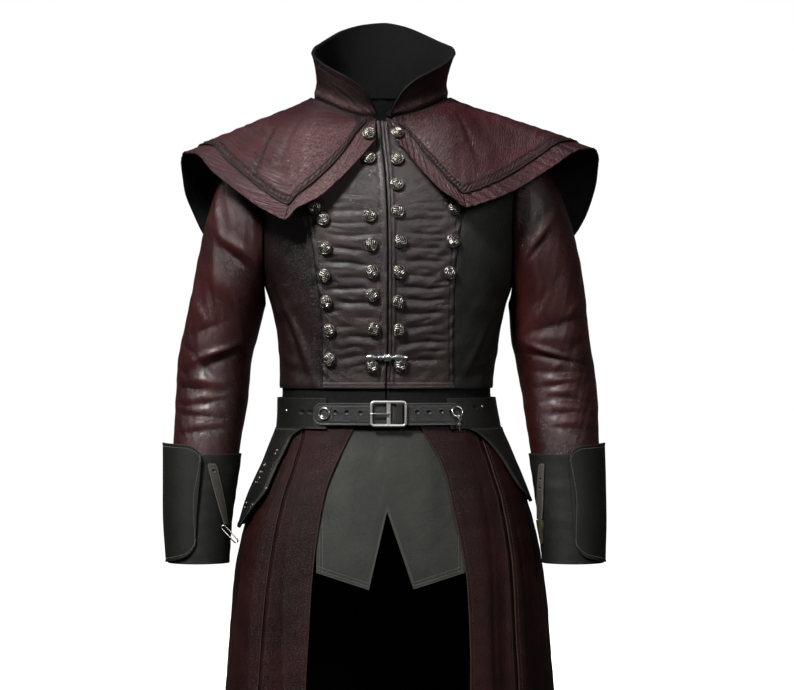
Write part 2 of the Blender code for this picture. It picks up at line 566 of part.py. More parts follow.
# Bodice: two gathered button fronts, two side fronts and a back. Rows are close at the armhole.
neck_rows = [0.0, 0.028, 0.056]
armhole_share = (1 - np.cos(np.linspace(0, math.pi, 9))) / 2
armhole_rows = SHOULDER_DOWN + (ARMPIT_DOWN - SHOULDER_DOWN) * armhole_share
below_rows = np.linspace(ARMPIT_DOWN, BODICE_HEM, 7)[1:]
body_rows = np.concatenate([neck_rows, armhole_rows, below_rows])
gather_rows = np.concatenate([neck_rows, [0.085, 0.105], np.arange(0.118, 0.382, 0.0076),
                              [0.3905, BODICE_HEM]])
for side, word in WORN.items():
    seam = turn_at(edge(PLASTRON_EDGE[side], gather_rows), gather_rows)
    centre = OPENING_HALF * side + 0 * seam
    panel(f"front_{word}", front(side), np.minimum(seam, centre), np.maximum(seam, centre),
          gather_rows, 5, -LEATHER, 0, brown)
    seam = turn_at(edge(PLASTRON_EDGE[side], body_rows), body_rows)
    outer = side * (math.pi / 2 - armhole_edge(body_rows, ARMHOLE_FRONT))
    panel(f"side_front_{word}", trunk, np.minimum(seam, outer), np.maximum(seam, outer),
          body_rows, 5, -LEATHER, 0, brown)
back_reach = math.pi / 2 + armhole_edge(body_rows, ARMHOLE_BACK)
panel("back", trunk, back_reach, 2 * math.pi - back_reach, body_rows, 13, -LEATHER, 0, brown)

# Waistband inside the bodice's hem and behind the belt, all round but for the front opening.
band_turns = np.linspace(0.006, 2 * math.pi - 0.006, 37)[None, :]
band_rows = np.array([[WAISTBAND_TOP], [0.410], [SKIRT_TOP], [WAISTBAND_END]])
band_outer = -LEATHER - np.where(band_rows < SKIRT_TOP, BAND_INSIDE_TOP, BAND_INSIDE_END)
wall("waistband", trunk, band_turns, band_rows, band_outer - LEATHER, band_outer, black)

# Apron, hung from the waistband inside the skirt, with a notch at its centre.
apron_turns = np.linspace(APRON["x"][0], APRON["x"][-1], 11)
apron_turns = np.sort(np.concatenate([apron_turns, APRON["x"][1:-1]]))[None, :]
apron_end = np.interp(apron_turns, APRON["x"], APRON["down"])
apron_start = WAISTBAND_END + GAP
apron_down = apron_start + (apron_end - apron_start) * np.linspace(0, 1, 7)[:, None]
wall("apron", trunk, turn_at(apron_turns, apron_down), apron_down,
     -2 * LEATHER - APRON_INSIDE, -LEATHER - APRON_INSIDE, grey)

# Skirt: a front and a back panel on each side, open at the centre front and the centre back.
skirt_rows = np.concatenate([[SKIRT_TOP, 0.458], np.linspace(0.49, SKIRT_HEM, 11)])
for side, word in WORN.items():
    free = turn_at(edge(SKIRT_EDGE[side], skirt_rows), skirt_rows)
    seam = np.radians(edge(SKIRT_SEAM[side], skirt_rows, "turn"))
    panel(f"skirt_front_{word}", skirt, np.minimum(free, seam), np.maximum(free, seam),
          skirt_rows, 6, -LEATHER, 0, maroon)
    behind = side * math.pi + 0 * seam
    panel(f"skirt_back_{word}", skirt, np.minimum(behind, seam), np.maximum(behind, seam),
          skirt_rows, 12, -LEATHER, 0, maroon)

# Hip flaps, hung under the belt, each with a slanted front edge.
for side, word in WORN.items():
    rows = FLAP_EDGE[side]
    last = rows["down"][-1]
    flap_down = np.linspace(BELT_END + GAP, last, 8)
    front_edge = np.radians(edge(rows, flap_down, "turn"))
    back_edge = side * math.radians(FLAP_BACK_TURN) + 0 * front_edge
    stand = FLAP_STAND + FLAP_FLARE[side] * (flap_down - BELT_END)[:, None] / (last - BELT_END)
    panel(f"hip_flap_{word}", skirt, np.minimum(front_edge, back_edge),
          np.maximum(front_edge, back_edge), flap_down, 9, stand, stand + FLAP_THICK, black)

# Sleeves, each a tube from the armhole to just inside its cuff.
around = np.linspace(0, 2 * math.pi, 14, endpoint=False)[None, :]
sleeve_rows = np.concatenate([[0.004], np.linspace(0, 1, 7)[1:], 1 + np.arange(0.014, 0.19, 0.0125),
                              1 + np.linspace(0.22, SLEEVE_END - CAP_END, 4)])[:, None]
for side, word in WORN.items():
    wall(f"sleeve_{word}", sleeve(side), around, sleeve_rows, -LEATHER, 0, maroon,
         closed=True, mirrored=side > 0)

# Cuffs: an under cuff round the wrist and a stiff flap turned back over its outer half.
cuff_down = np.linspace(CUFF_TOP, CUFF_END, 5)[:, None]
flap_turns = np.linspace(TURNBACK_START, TURNBACK_END, 13)[None, :]
flap_rows = np.linspace(0, 1, 7)[:, None]
from_middle = np.abs(flap_turns - TURNBACK_MIDDLE)
near_edge = np.clip((from_middle - TURNBACK_FLAT) / TURNBACK_CORNER, 0, 1)
corner = TURNBACK_ROUND * (1 - np.sqrt(1 - 0.98 * near_edge**2))
flap_top = TURNBACK_TOP + 0.006 * np.abs(np.sin(flap_turns / 2)) + corner
flap_end = CUFF_END - 0.001 - 0.005 * np.clip(flap_turns, 0, 2)**2 - corner
flap_down = flap_top + (flap_end - flap_top) * flap_rows
flare = (1 - flap_rows)**0.8 * (0.45 + 0.55 * np.cos(flap_turns / 1.25))
for side, word in WORN.items():
    tube = functools.partial(arm_tube, side)
    stand = TURNBACK_STAND + TURNBACK_FLARE[side] * flare
    wall(f"cuff_{word}", tube, around, cuff_down, CUFF_STAND, CUFF_STAND + CUFF_THICK, grey,
         closed=True, mirrored=side > 0)
    wall(f"cuff_flap_{word}", tube, flap_turns, flap_down, stand, stand + TURNBACK_THICK, grey,
         mirrored=side > 0)

# Cape: a lower layer, and an upper layer that lies on it inside the border.
cape_turns = np.radians(np.array([4, 8, 12, 19, 26, 33, 40, 47, 53, 56, 60, 65, 72, 80, 88, 94, 100,
                                  106, 112, 121, 131, 142, 155, 168, 180]))
layer_steps = np.array([0.0, 0.2, 0.4, 0.6, 0.8, 1.0, 2.0])[:, None]


def both_ways(half):
    """Turns from the front opening round the back to the opening again, from those of one half."""
    return np.concatenate([half, (2 * math.pi - half[::-1])[1:]])[None, :]


def cape_surface(turn, step):
    signed = np.where(turn > math.pi, turn - 2 * math.pi, turn)
    return cape(signed, cape_share(signed, step))


def cape_layer(name, first, steps, inner, outer):
    """One layer of the cape, from the front opening of one side round to that of the other."""
    around_neck = both_ways(cape_turns[cape_turns >= first - 1e-6])
    return wall(name, cape_surface, around_neck, steps, inner, outer, maroon)


cape_layer("cape_lower", FRONT_TURN, layer_steps, -LEATHER, 0)
cape_layer("cape_upper", UPPER_TURN, layer_steps[:-1], GAP, GAP + LEATHER)

# Collar and its facing, whose rolled edge covers the collar's free edge.
collar_turns = both_ways(np.radians(np.array([4, 10, 18, 26, 34, 42, 50, 58, 66, 72, 80, 95, 112,
                                              132, 156, 180])))


def collar_round(turn, share):
    return collar(np.where(turn > math.pi, turn - 2 * math.pi, turn), share)


wall("collar", collar_round, collar_turns, np.array([0, 0.25, 0.5, 0.75, 0.985])[:, None], -LEATHER, 0,
     maroon, mirrored=True)
facing_rows = np.array([0.0, 0.25, 0.5, 0.75, 0.985, 1.0, 1.03])[:, None]
facing_outer = np.array([-1, -1, -1, -1, -1, 0.1, 0])[:, None] * (LEATHER + GAP)
facing_inner = -2 * LEATHER - GAP + np.array([0, 0, 0, 0, -0.0006, -0.0006, 0.0008])[:, None]
wall("collar_facing", collar_round, collar_turns, facing_rows, facing_inner, facing_outer, black,
     mirrored=True)

# Belt: a wide band round the sides and back, and a narrower strap across the front on its ends.
belt_turns = np.radians(np.linspace(33, 327, 31))[None, :]
belt_down = np.linspace(BELT_TOP, BELT_END, 3)[:, None]
wall("belt", trunk, belt_turns, belt_down, BELT_STAND, BELT_STAND + BELT_THICK, black)
strap_turns = np.radians(np.linspace(-STRAP_REACH, STRAP_REACH, 17))[None, :]
tip = np.clip((np.abs(np.degrees(strap_turns)) - STRAP_REACH) / STRAP_ROUND + 1, 0, 1)
strap_half = (STRAP_END - STRAP_TOP) / 2 * np.sqrt(1 - 0.8 * tip**2)
strap_down = (STRAP_TOP + STRAP_END) / 2 + strap_half * np.array([[-1], [0], [1]])
strap_face = STRAP_STAND + STRAP_THICK
wall("belt_strap", trunk, strap_turns, strap_down, STRAP_STAND, strap_face, black)


def frame_on(surface, turn, down, out):
    """Placement on a surface: local Z out along its normal, local Y up it, moved out by out."""
    turn, down = np.array([turn], float), np.array([down], float)
    normal = Vector(normals(surface, turn, down)[0])
    place = Vector(surface(turn, down)[0]) + normal * out
    across = Vector((0, 0, 1)).cross(normal).normalized()
    up = normal.cross(across)
    turned = Matrix((across, up, normal)).transposed().to_4x4()
    return Matrix.Translation(place) @ turned


def turned_piece(name, profile, steps, finish, placing):
    """A solid turned round its local Z from a profile of (radius, height) points."""
    mesh = bpy.data.meshes.new(name)
    points = [(radius, 0.0, height) for radius, height in profile]
    mesh.from_pydata(points, [(i, i + 1) for i in range(len(points) - 1)], [])
    mesh.materials.append(finish)
    made = bpy.data.objects.new(name, mesh)
    coat.objects.link(made)
    screw = made.modifiers.new("turn", "SCREW")
    screw.steps = steps
    screw.render_steps = steps
    screw.use_merge_vertices = True
    screw.merge_threshold = 0.00005
    screw.use_smooth_shade = True
    made.matrix_world = placing
    return made


# Buttons: domes on short shanks.
button_profile = [(0.0, BUTTON_HEIGHT), (BUTTON_RADIUS * 0.66, BUTTON_HEIGHT * 0.80),
                  (BUTTON_RADIUS, BUTTON_HEIGHT * 0.36), (0.0028, 0.0), (0.0, 0.0)]
for column, rows in BUTTONS.items():
    side = -1 if column.endswith("right") else 1
    places = [frame_on(front(side), float(turn_at(x, down)), down, GAP)
              for x, down in zip(rows["x"], rows["down"])]
    if column in TOP_BUTTONS:
        turn, step = TOP_BUTTONS[column]
        places.insert(0, frame_on(cape_surface, math.radians(turn), step, GAP))
    for number, placing in enumerate(places, 1):
        turned_piece(f"button_{column}_{number}", button_profile, 8, old_silver, placing)


def plate(name, outline, holes, thickness, finish, placing):
    """A flat outline with holes, extruded by half the thickness each way."""
    shape = bpy.data.curves.new(name, "CURVE")
    shape.dimensions = "2D"
    shape.fill_mode = "BOTH"
    shape.extrude = thickness / 2
    for loop in [outline] + holes:
        line = shape.splines.new("POLY")
        line.points.add(len(loop) - 1)
        for point, (x, y) in zip(line.points, loop):
            point.co = (x, y, 0, 1)
        line.use_cyclic_u = True
    shape.materials.append(finish)
    made = bpy.data.objects.new(name, shape)
    coat.objects.link(made)
    made.matrix_world = placing
    weld = made.modifiers.new("weld", "WELD")
    weld.merge_threshold = 0.00001
    return made


def rounded(width, height, radius, steps=3, centre=(0.0, 0.0)):
    """Outline of a rectangle with round corners."""
    points = []
    for quarter in range(4):
        sx = 1 if quarter in (0, 3) else -1
        sy = 1 if quarter in (0, 1) else -1
        for step in range(steps + 1):
            angle = math.radians(90 * quarter + 90 * step / steps)
            points.append((centre[0] + sx * (width / 2 - radius) + radius * math.cos(angle),
                           centre[1] + sy * (height / 2 - radius) + radius * math.sin(angle)))
    return points


# Buckle: a flat frame with two windows, its prong across the left one, and the strap's loop.
buckle_place = Matrix.Translation((BUCKLE_X, -BUCKLE_FRONT, -BUCKLE_DOWN)) @ Matrix.Rotation(
    math.pi / 2, 4, "X")
window_height = BUCKLE_HEIGHT - 2 * BUCKLE_BAR
windows = [rounded(width, window_height, 0.002, centre=(x, 0))
           for x, width in zip(BUCKLE_WINDOWS["x"], BUCKLE_WINDOWS["width"])]
plate("buckle", rounded(BUCKLE_WIDTH, BUCKLE_HEIGHT, 0.004), windows, BUCKLE_THICK, silver,
      buckle_place)


def wire(name, points, radius, finish, placing, cyclic=False):
    """A round wire through the points."""
    shape = bpy.data.curves.new(name, "CURVE")
    shape.dimensions = "3D"
    shape.bevel_depth = radius
    shape.bevel_resolution = 1
    shape.use_fill_caps = not cyclic
    line = shape.splines.new("POLY")
    line.points.add(len(points) - 1)
    for point, place in zip(line.points, points):
        point.co = (*place, 1)
    line.use_cyclic_u = cyclic
    shape.materials.append(finish)
    made = bpy.data.objects.new(name, shape)
    coat.objects.link(made)
    made.matrix_world = placing
    return made


prong_place = buckle_place @ Matrix.Translation((0, 0, BUCKLE_THICK / 2 + PRONG_RADIUS + 0.0003))
wire("buckle_prong", [(0.002, 0, 0), (-0.010, 0, 0.0002), (-0.0245, 0, 0)], PRONG_RADIUS, silver,
     prong_place)
loop_place = buckle_place @ Matrix.Translation((LOOP_X, 0, -0.0004))
plate("belt_loop", rounded(LOOP_WIDTH, window_height - 0.001, 0.001), [], LOOP_THICK, black,
      loop_place)


def link_points(radius, straight=0.0, count=14):
    """Points round a ring, or round a long link whose sides run straight for twice straight."""
    angles = 2 * math.pi * np.arange(count) / count
    up = radius * np.cos(angles) + straight * np.sign(np.round(np.cos(angles), 3))
    return [(x, y, 0.0) for x, y in zip(radius * np.sin(angles), up)]


def ring_seat(side):
    """Placement on the belt strap of the right ring's centre, or of the left ring's top."""
    x, down = BELT_RINGS[side]["x"][0], BELT_RINGS[side]["down"][0]
    return frame_on(trunk, float(turn_at(x, down)), down, strap_face + 0.0005 + RING_WIRE)


# Rings on the belt: the right one lies flat, the left one stands out from its top over a clip.
wire("belt_ring_right", link_points(RING_RADIUS), RING_WIRE, silver, ring_seat(-1), cyclic=True)
ring_left_place = ring_seat(1) @ Matrix.Rotation(-RING_TILT, 4, "X") @ Matrix.Translation(
    (0, -RING_RADIUS, 0))
wire("belt_ring_left", link_points(RING_RADIUS), RING_WIRE, silver, ring_left_place, cyclic=True)

# Clip on the left ring: a hook from under the ring's lowest wire round its back and top to its
# front, with a straight tail down from there.
hook = [(0, HOOK_RADIUS * math.sin(angle), HOOK_RADIUS * math.cos(angle))
        for angle in np.radians(np.linspace(250, 0, 8))]
clip_tail = [(0, -0.0050, 0.0025), (0, -0.0110, 0.0016), (0, -0.0195, 0.0012)]
clip_place = (ring_left_place @ Matrix.Translation((0, -RING_RADIUS, 0))
              @ Matrix.Rotation(RING_TILT, 4, "X"))
wire("ring_clip", hook + clip_tail, HOOK_WIRE, silver, clip_place)

# Clasp: a turned bar across the front opening.
clasp_place = Matrix.Translation((CLASP_X, -CLASP_FRONT, -CLASP_DOWN)) @ Matrix.Rotation(
    math.pi / 2, 4, "Y")
clasp_profile = list(zip(CLASP["radius"][::-1], CLASP["along"][::-1]))
turned_piece("clasp", clasp_profile, 10, silver, clasp_place)


def strap_middle(side):
    """Turn round the arm of a cuff strap's centre line, at each of its rows."""
    rows = CUFF_STRAP[side]
    centre = curve(rows["down"], ARM[side]["down"], ARM[side]["out"])
    reach = curve(rows["down"], ARM[side]["down"], ARM[side]["half_width"])
    reach = reach + (CUFF_STRAP_STAND + CUFF_STRAP_THICK / 2)
    return np.arccos((rows["out"] - centre) / reach)


# Straps that hang over each under cuff.
across_strap = np.array([[-1.0, 0.0, 1.0]])
for side, word in WORN.items():
    half_turn = CUFF_STRAP[side]["half_width"] / WRIST_RADIUS
    turns = strap_middle(side)[:, None] + half_turn[:, None] * across_strap
    wall(f"cuff_strap_{word}", functools.partial(arm_tube, side), turns,
         CUFF_STRAP[side]["down"][:, None], CUFF_STRAP_STAND, CUFF_STRAP_STAND + CUFF_STRAP_THICK,
         grey, mirrored=side > 0)

# The right strap ends in a long wire link that hangs to the inner side.
strap_end = Vector(arm_tube(-1, strap_middle(-1), CUFF_STRAP[-1]["down"])[-1])
link_place = (Matrix.Translation(strap_end + Vector((0, -LINK_FORWARD, -LINK_WIRE - GAP)))
              @ Matrix.Rotation(-LINK_LEAN, 4, "Y") @ Matrix.Rotation(math.pi / 2, 4, "X")
              @ Matrix.Translation((0, -LINK_LENGTH / 2, 0)))
wire("cuff_clip_right", link_points(LINK_HALF_WIDTH, LINK_LENGTH / 2 - LINK_HALF_WIDTH), LINK_WIRE,
     silver, link_place, cyclic=True)

# The left strap ends in a pointed metal tip.
tip_turns = strap_middle(1)[-1] + CUFF_TIP["half_width"][:, None] / WRIST_RADIUS * across_strap
wall("cuff_tip_left", functools.partial(arm_tube, 1), tip_turns, CUFF_TIP["down"][:, None],
     TIP_STAND, TIP_STAND + TIP_THICK, old_silver, mirrored=True)
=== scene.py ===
"""A worn leather coat of medieval cut: grained leather panels, stitched seams, a gathered button
front, a two-layer cape, gauntlet cuffs and a buckled belt. Left and right are the wearer's."""
import itertools
import math
import types
from functools import partial, reduce

import bpy
import numpy as np
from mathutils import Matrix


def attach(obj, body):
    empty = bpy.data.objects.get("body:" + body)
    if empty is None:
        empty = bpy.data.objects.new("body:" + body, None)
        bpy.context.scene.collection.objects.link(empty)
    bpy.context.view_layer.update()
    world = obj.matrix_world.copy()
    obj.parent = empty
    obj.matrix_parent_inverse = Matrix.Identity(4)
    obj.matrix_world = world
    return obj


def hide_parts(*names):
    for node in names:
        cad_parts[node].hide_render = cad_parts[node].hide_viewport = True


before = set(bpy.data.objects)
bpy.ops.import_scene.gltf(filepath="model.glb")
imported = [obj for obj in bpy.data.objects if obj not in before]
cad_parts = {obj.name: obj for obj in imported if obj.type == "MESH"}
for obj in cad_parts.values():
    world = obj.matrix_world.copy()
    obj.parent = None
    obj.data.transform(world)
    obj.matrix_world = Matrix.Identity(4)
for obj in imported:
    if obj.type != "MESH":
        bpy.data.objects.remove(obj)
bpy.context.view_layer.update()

# The studio. A camera four metres in front at chest height, a pale floor under the hem that throws no
# light back, a soft key high on the left, a weak fill, a softbox by the right shoulder and two lamps
# behind that light the back without a bright rim.
CAMERA_AWAY, CAMERA_X, CAMERA_Z = 4.0, 0.0145, -0.341
PICTURE_WIDTH = 1.1513        # metres across the picture at the coat
FLOOR_Z, FLOOR_REACH = -1.16, 30
COAT_MIDDLE = (0, 0, -0.35)
LAMPS = (("key", 245, (-1.6, -2.3, 2.3), 0.8), ("fill", 36, (2.1, -3.0, 1.2), 1.2),
         ("sheen", 7, (-2.2, 0.5, 1.4), 0.8), ("behind_right", 150, (-2.3, 2.7, 0.9), 1.4),
         ("behind_left", 70, (2.3, 2.7, 0.3), 1.4))


def srgb(code):
    """An sRGB hex colour as linear red, green, blue and alpha."""
    parts = np.array([int(code[i:i + 2], 16) for i in (1, 3, 5)]) / 255
    linear = np.where(parts <= 0.04045, parts / 12.92, ((parts + 0.055) / 1.055)**2.4)
    return (*linear.tolist(), 1.0)


def set_inputs(tree, node, inputs):
    """Gives each input of a node, by its name or number, its value or the socket feeding it."""
    for key, value in inputs.items():
        if isinstance(value, bpy.types.NodeSocket):
            tree.links.new(value, node.inputs[key])
        else:
            node.inputs[key].default_value = value


def add_node(tree, kind, inputs, **settings):
    """Adds a node with its inputs and its settings."""
    node = tree.nodes.new("ShaderNode" + kind)
    for name, value in settings.items():
        setattr(node, name, value)
    set_inputs(tree, node, inputs)
    return node


def new_material(name):
    """A new material, its nodes and its main shader."""
    made = bpy.data.materials.new(name)
    made.use_nodes = True
    return made, made.node_tree, made.node_tree.nodes["Principled BSDF"]


def add_object(name, data):
    """A new object in the scene."""
    made = bpy.data.objects.new(name, data)
    bpy.context.scene.collection.objects.link(made)
    return made


lens = bpy.data.cameras.new("camera")
lens.sensor_width = 36.0
lens.lens = lens.sensor_width * CAMERA_AWAY / PICTURE_WIDTH
camera = add_object("camera", lens)
camera.location = (CAMERA_X, -CAMERA_AWAY, CAMERA_Z)
camera.rotation_euler = (math.pi / 2, 0, 0)
bpy.context.scene.camera = camera
bpy.context.scene.view_settings.view_transform = "Standard"

for name, power, place, size in LAMPS:
    lamp = bpy.data.lights.new(name, "AREA")
    lamp.energy = power
    lamp.size = size
    light = add_object(name, lamp)
    light.visible_glossy = not name.startswith("behind")
    away = np.array(place) - np.array(COAT_MIDDLE)
    light.location = place
    light.rotation_euler = (math.atan2(math.hypot(away[0], away[1]), away[2]), 0,
                            math.atan2(away[1], away[0]) + math.pi / 2)

world = bpy.data.worlds.new("pale_room")
bpy.context.scene.world = world
world.use_nodes = True
room = world.node_tree
room.nodes.clear()
seen = add_node(room, "Background", {"Color": srgb("#ffffff"), "Strength": 1.0})
glow = add_node(room, "Background", {"Color": srgb("#e8ecf2"), "Strength": 0.055})
path = add_node(room, "LightPath", {})
choice = add_node(room, "MixShader", {0: path.outputs["Is Camera Ray"], 1: glow.outputs[0],
                                      2: seen.outputs[0]})
add_node(room, "OutputWorld", {"Surface": choice.outputs[0]})

floor_mesh = bpy.data.meshes.new("floor")
floor_mesh.from_pydata([(x * FLOOR_REACH, y * FLOOR_REACH, FLOOR_Z)
                        for x, y in ((-1, -1), (1, -1), (1, 1), (-1, 1))], [], [(0, 1, 2, 3)])
floor = add_object("floor", floor_mesh)
paint, paint_tree, paint_shader = new_material("matt_white_floor_paint")
set_inputs(paint_tree, paint_shader, {"Base Color": srgb("#f6f6f4"), "Roughness": 0.9,
                                      "Emission Color": srgb("#ffffff"), "Emission Strength": 1.0})
floor_mesh.materials.append(paint)
floor.visible_diffuse = False
floor.visible_glossy = False

# The bodice's back: one panel of plain black cowhide 2 mm thick, from the neck seam to the waist,
# cut away for the armholes and sewn to the side fronts below them.
LEATHER = 0.002
SHOULDER_DOWN, ARMPIT_DOWN, BODICE_HEM = 0.085, 0.255, 0.403
ARMHOLE_FRONT, ARMHOLE_BACK = math.radians(23), math.radians(24)
SEAM_TURN = 0.0017
ROUNDNESS = 0.85


def table(columns, *rows):
    """Rows of numbers as a dict from column name to the array down the rows."""
    return dict(zip(columns.split(), np.array(rows, float).T))


def folds(*rows):
    """A table of folds for creases: where each lies, its reach both ways, its slant and its height."""
    return table("turn down round_reach down_reach slant height", *rows)


TRUNK = table(
    "down middle half_width front back z_front z_side z_back",
    (0.000, -0.009, 0.098, 0.074, 0.070, -0.022, 0.012, 0.022),
    (0.045, -0.006, 0.142, 0.088, 0.094, -0.060, -0.016, -0.018),
    (0.085, -0.002, 0.184, 0.105, 0.112, -0.098, -0.044, -0.066),
    (0.150, 0.001, 0.194, 0.120, 0.118, -0.155, -0.130, -0.142),
    (0.205, 0.002, 0.190, 0.124, 0.116, -0.206, -0.198, -0.202),
    (0.255, 0.002, 0.179, 0.123, 0.113, -0.255, -0.255, -0.255),
    (0.281, 0.002, 0.171, 0.121, 0.110, -0.281, -0.281, -0.281),
    (0.334, 0.002, 0.160, 0.114, 0.103, -0.334, -0.334, -0.334),
    (0.403, -0.001, 0.1545, 0.105, 0.096, -0.403, -0.403, -0.403),
    (0.455, 0.002, 0.159, 0.108, 0.100, -0.455, -0.455, -0.455),
    (0.507, 0.004, 0.177, 0.116, 0.112, -0.507, -0.507, -0.507),
    (0.560, 0.003, 0.198, 0.124, 0.124, -0.560, -0.560, -0.560),
    (0.664, 0.002, 0.222, 0.138, 0.145, -0.664, -0.664, -0.664),
    (0.841, 0.001, 0.236, 0.155, 0.172, -0.841, -0.841, -0.841),
    (1.120, 0.000, 0.258, 0.176, 0.205, -1.120, -1.120, -1.120))


def curve(at, knots, values):
    """Cubic through the knots, each slope the harmonic mean of the chords beside it, 0 at a turn."""
    at = np.clip(at, knots[0], knots[-1])
    step = np.diff(knots)
    chord = np.diff(values) / step
    before, after = chord[:-1], chord[1:]
    same = before * after > 0
    total = np.where(same, before + after, 1.0)
    inner = np.where(same, 2 * before * after / total, 0.0)
    slope = np.concatenate([chord[:1], inner, chord[-1:]])
    k = np.clip(np.searchsorted(knots, at, side="right") - 1, 0, len(knots) - 2)
    t = (at - knots[k]) / step[k]
    return (values[k] * (1 + 2 * t) * (1 - t)**2 + slope[k] * step[k] * t * (1 - t)**2
            + values[k + 1] * t * t * (3 - 2 * t) + slope[k + 1] * step[k] * t * t * (t - 1))


def read_at(rows, down, name="x"):
    """A column of a table of heights, at each height down."""
    return curve(down, rows["down"], rows[name])


def bump(offset, reach):
    """Bell shape, 1 at offset 0."""
    return np.exp(-(offset / reach)**2)


def ramp(value, start, end):
    """0 before start, 1 after end, and smooth between them."""
    share = np.clip((value - start) / (end - start), 0, 1)
    return share * share * (3 - 2 * share)


def trunk(turn, down):
    """x = middle + half_width sin(turn), y = -depth |cos(turn)|^ROUNDNESS with cos's sign,
    z = z_side + (rim - z_side) cos^2(turn), each size read from TRUNK at down."""
    size = {name: read_at(TRUNK, down, name) for name in TRUNK}
    sine, cosine = np.sin(turn), np.cos(turn)
    depth = np.where(cosine > 0, size["front"], size["back"])
    rim = np.where(cosine > 0, size["z_front"], size["z_back"])
    x = size["middle"] + size["half_width"] * sine
    y = -np.sign(cosine) * depth * np.abs(cosine)**ROUNDNESS
    return np.stack([x, y, size["z_side"] + (rim - size["z_side"]) * cosine**2], -1)


def outward(turn):
    """Level unit vectors that point away from the trunk's middle."""
    return np.stack([np.sin(turn), -np.cos(turn), np.zeros_like(turn)], -1)


def normals(form, across, along):
    """Outward unit normals of a form, by central differences of its two parameters."""
    small = 1e-4
    right = form(across + small, along) - form(across - small, along)
    downward = form(across, along + small) - form(across, along - small)
    normal = np.cross(downward, right)
    return normal / np.maximum(np.linalg.norm(normal, axis=-1), 1e-12)[..., None]


def crumple(u, v, size, seed):
    """Uneven swell about 1 high: three crossed sine waves whose phases bend each other."""
    first = np.sin(u / size * 2.1 + seed + 1.3 * np.sin(v / size * 1.3 + 2 * seed))
    second = np.sin(v / size * 2.7 + 1.7 * seed + 1.1 * np.sin(u / size * 0.9 + seed))
    third = np.sin((u + v) / size * 1.6 + 3.1 * seed + 0.8 * first)
    return (first + second + third) / 3


def creases(rows, turn, down):
    """Sum of folds: each a bell across its line, which slants, and along it a bell where it stands up
    or a sharp valley, exp of minus the distance, where it goes in."""
    height = 0.0
    for at, depth, wide, tall, slant, size in zip(*rows.values()):
        offset = (turn - at + math.pi) % (2 * math.pi) - math.pi
        below = down - depth - slant * offset
        valley = np.exp(-np.sqrt((below / tall)**2 + 0.05) + 0.2236)
        height = height + size * bump(offset, wide) * (bump(below, tall) if size > 0 else valley)
    return height


def add_mesh(name, points, faces, finish, smooth_angle=50):
    """New object of the given points and faces, smooth but for its sharp edges."""
    mesh = bpy.data.meshes.new(name)
    mesh.from_pydata(np.asarray(points).tolist(), [], [list(face) for face in faces])
    mesh.materials.append(finish)
    mesh.update()
    mesh.shade_smooth()
    mesh.set_sharp_from_angle(angle=math.radians(smooth_angle))
    return add_object(name, mesh)


def paint_points(piece, label, values):
    """Stores one value a point under the label that the materials read."""
    layer = piece.data.attributes.new(label, "FLOAT", "POINT")
    layer.data.foreach_set("value", np.ravel(values).astype(np.float32))


def nearest(*distances):
    """The least of several distances at each point."""
    return reduce(np.minimum, distances)


def lowest_near(height, closed):
    """The lowest of each inland point and its eight neighbours; the border keeps its own height."""
    wrapped = np.pad(height, ((0, 0), (1, 1)), "wrap" if closed else "edge")
    inland = slice(None) if closed else slice(1, -1)
    beside = nearest(wrapped[:, :-2], wrapped[:, 2:], height)
    lowest = height.copy()
    lowest[1:-1, inland] = nearest(beside[:-2], beside[2:], beside[1:-1])[:, inland]
    return lowest


def wall_faces(rows, wide, closed):
    """Faces of two skins of rows by wide points: the first one in full, the strips that join their
    edges, and the second one with every second line of the grid but all of its border's points."""
    n = rows * wide
    corner = np.arange(n).reshape(rows, wide)
    first, last, near, end = corner[0], corner[-1], corner[:, 0], corner[:, -1]
    quads = [(corner[:-1, :-1], corner[1:, :-1], corner[1:, 1:], corner[:-1, 1:]),
             (first[:-1], first[1:], first[1:] + n, first[:-1] + n),
             (last[1:], last[:-1], last[:-1] + n, last[1:] + n)]
    if not closed:
        quads += [(near[1:], near[:-1], near[:-1] + n, near[1:] + n),
                  (end[:-1], end[1:], end[1:] + n, end[:-1] + n)]
    faces = np.concatenate([np.stack(corners, -1).reshape(-1, 4) for corners in quads]).tolist()
    under = corner + n
    row_ends, column_ends = ([*range(0, count - 1, 2), count - 1] for count in (rows, wide))
    for i, below in itertools.pairwise(row_ends):
        for j, beside in itertools.pairwise(column_ends):
            upper_side = under[i, j:beside if i == 0 else j + 1]
            right_side = under[i:below if beside == wide - 1 and not closed else i + 1, beside]
            lower_side = under[below, beside:j:-1] if below == rows - 1 else under[below, [beside]]
            left_side = under[below:i:-1, j] if j == 0 and not closed else under[[below], j]
            faces.append([*upper_side, *right_side, *lower_side, *left_side])
    return faces


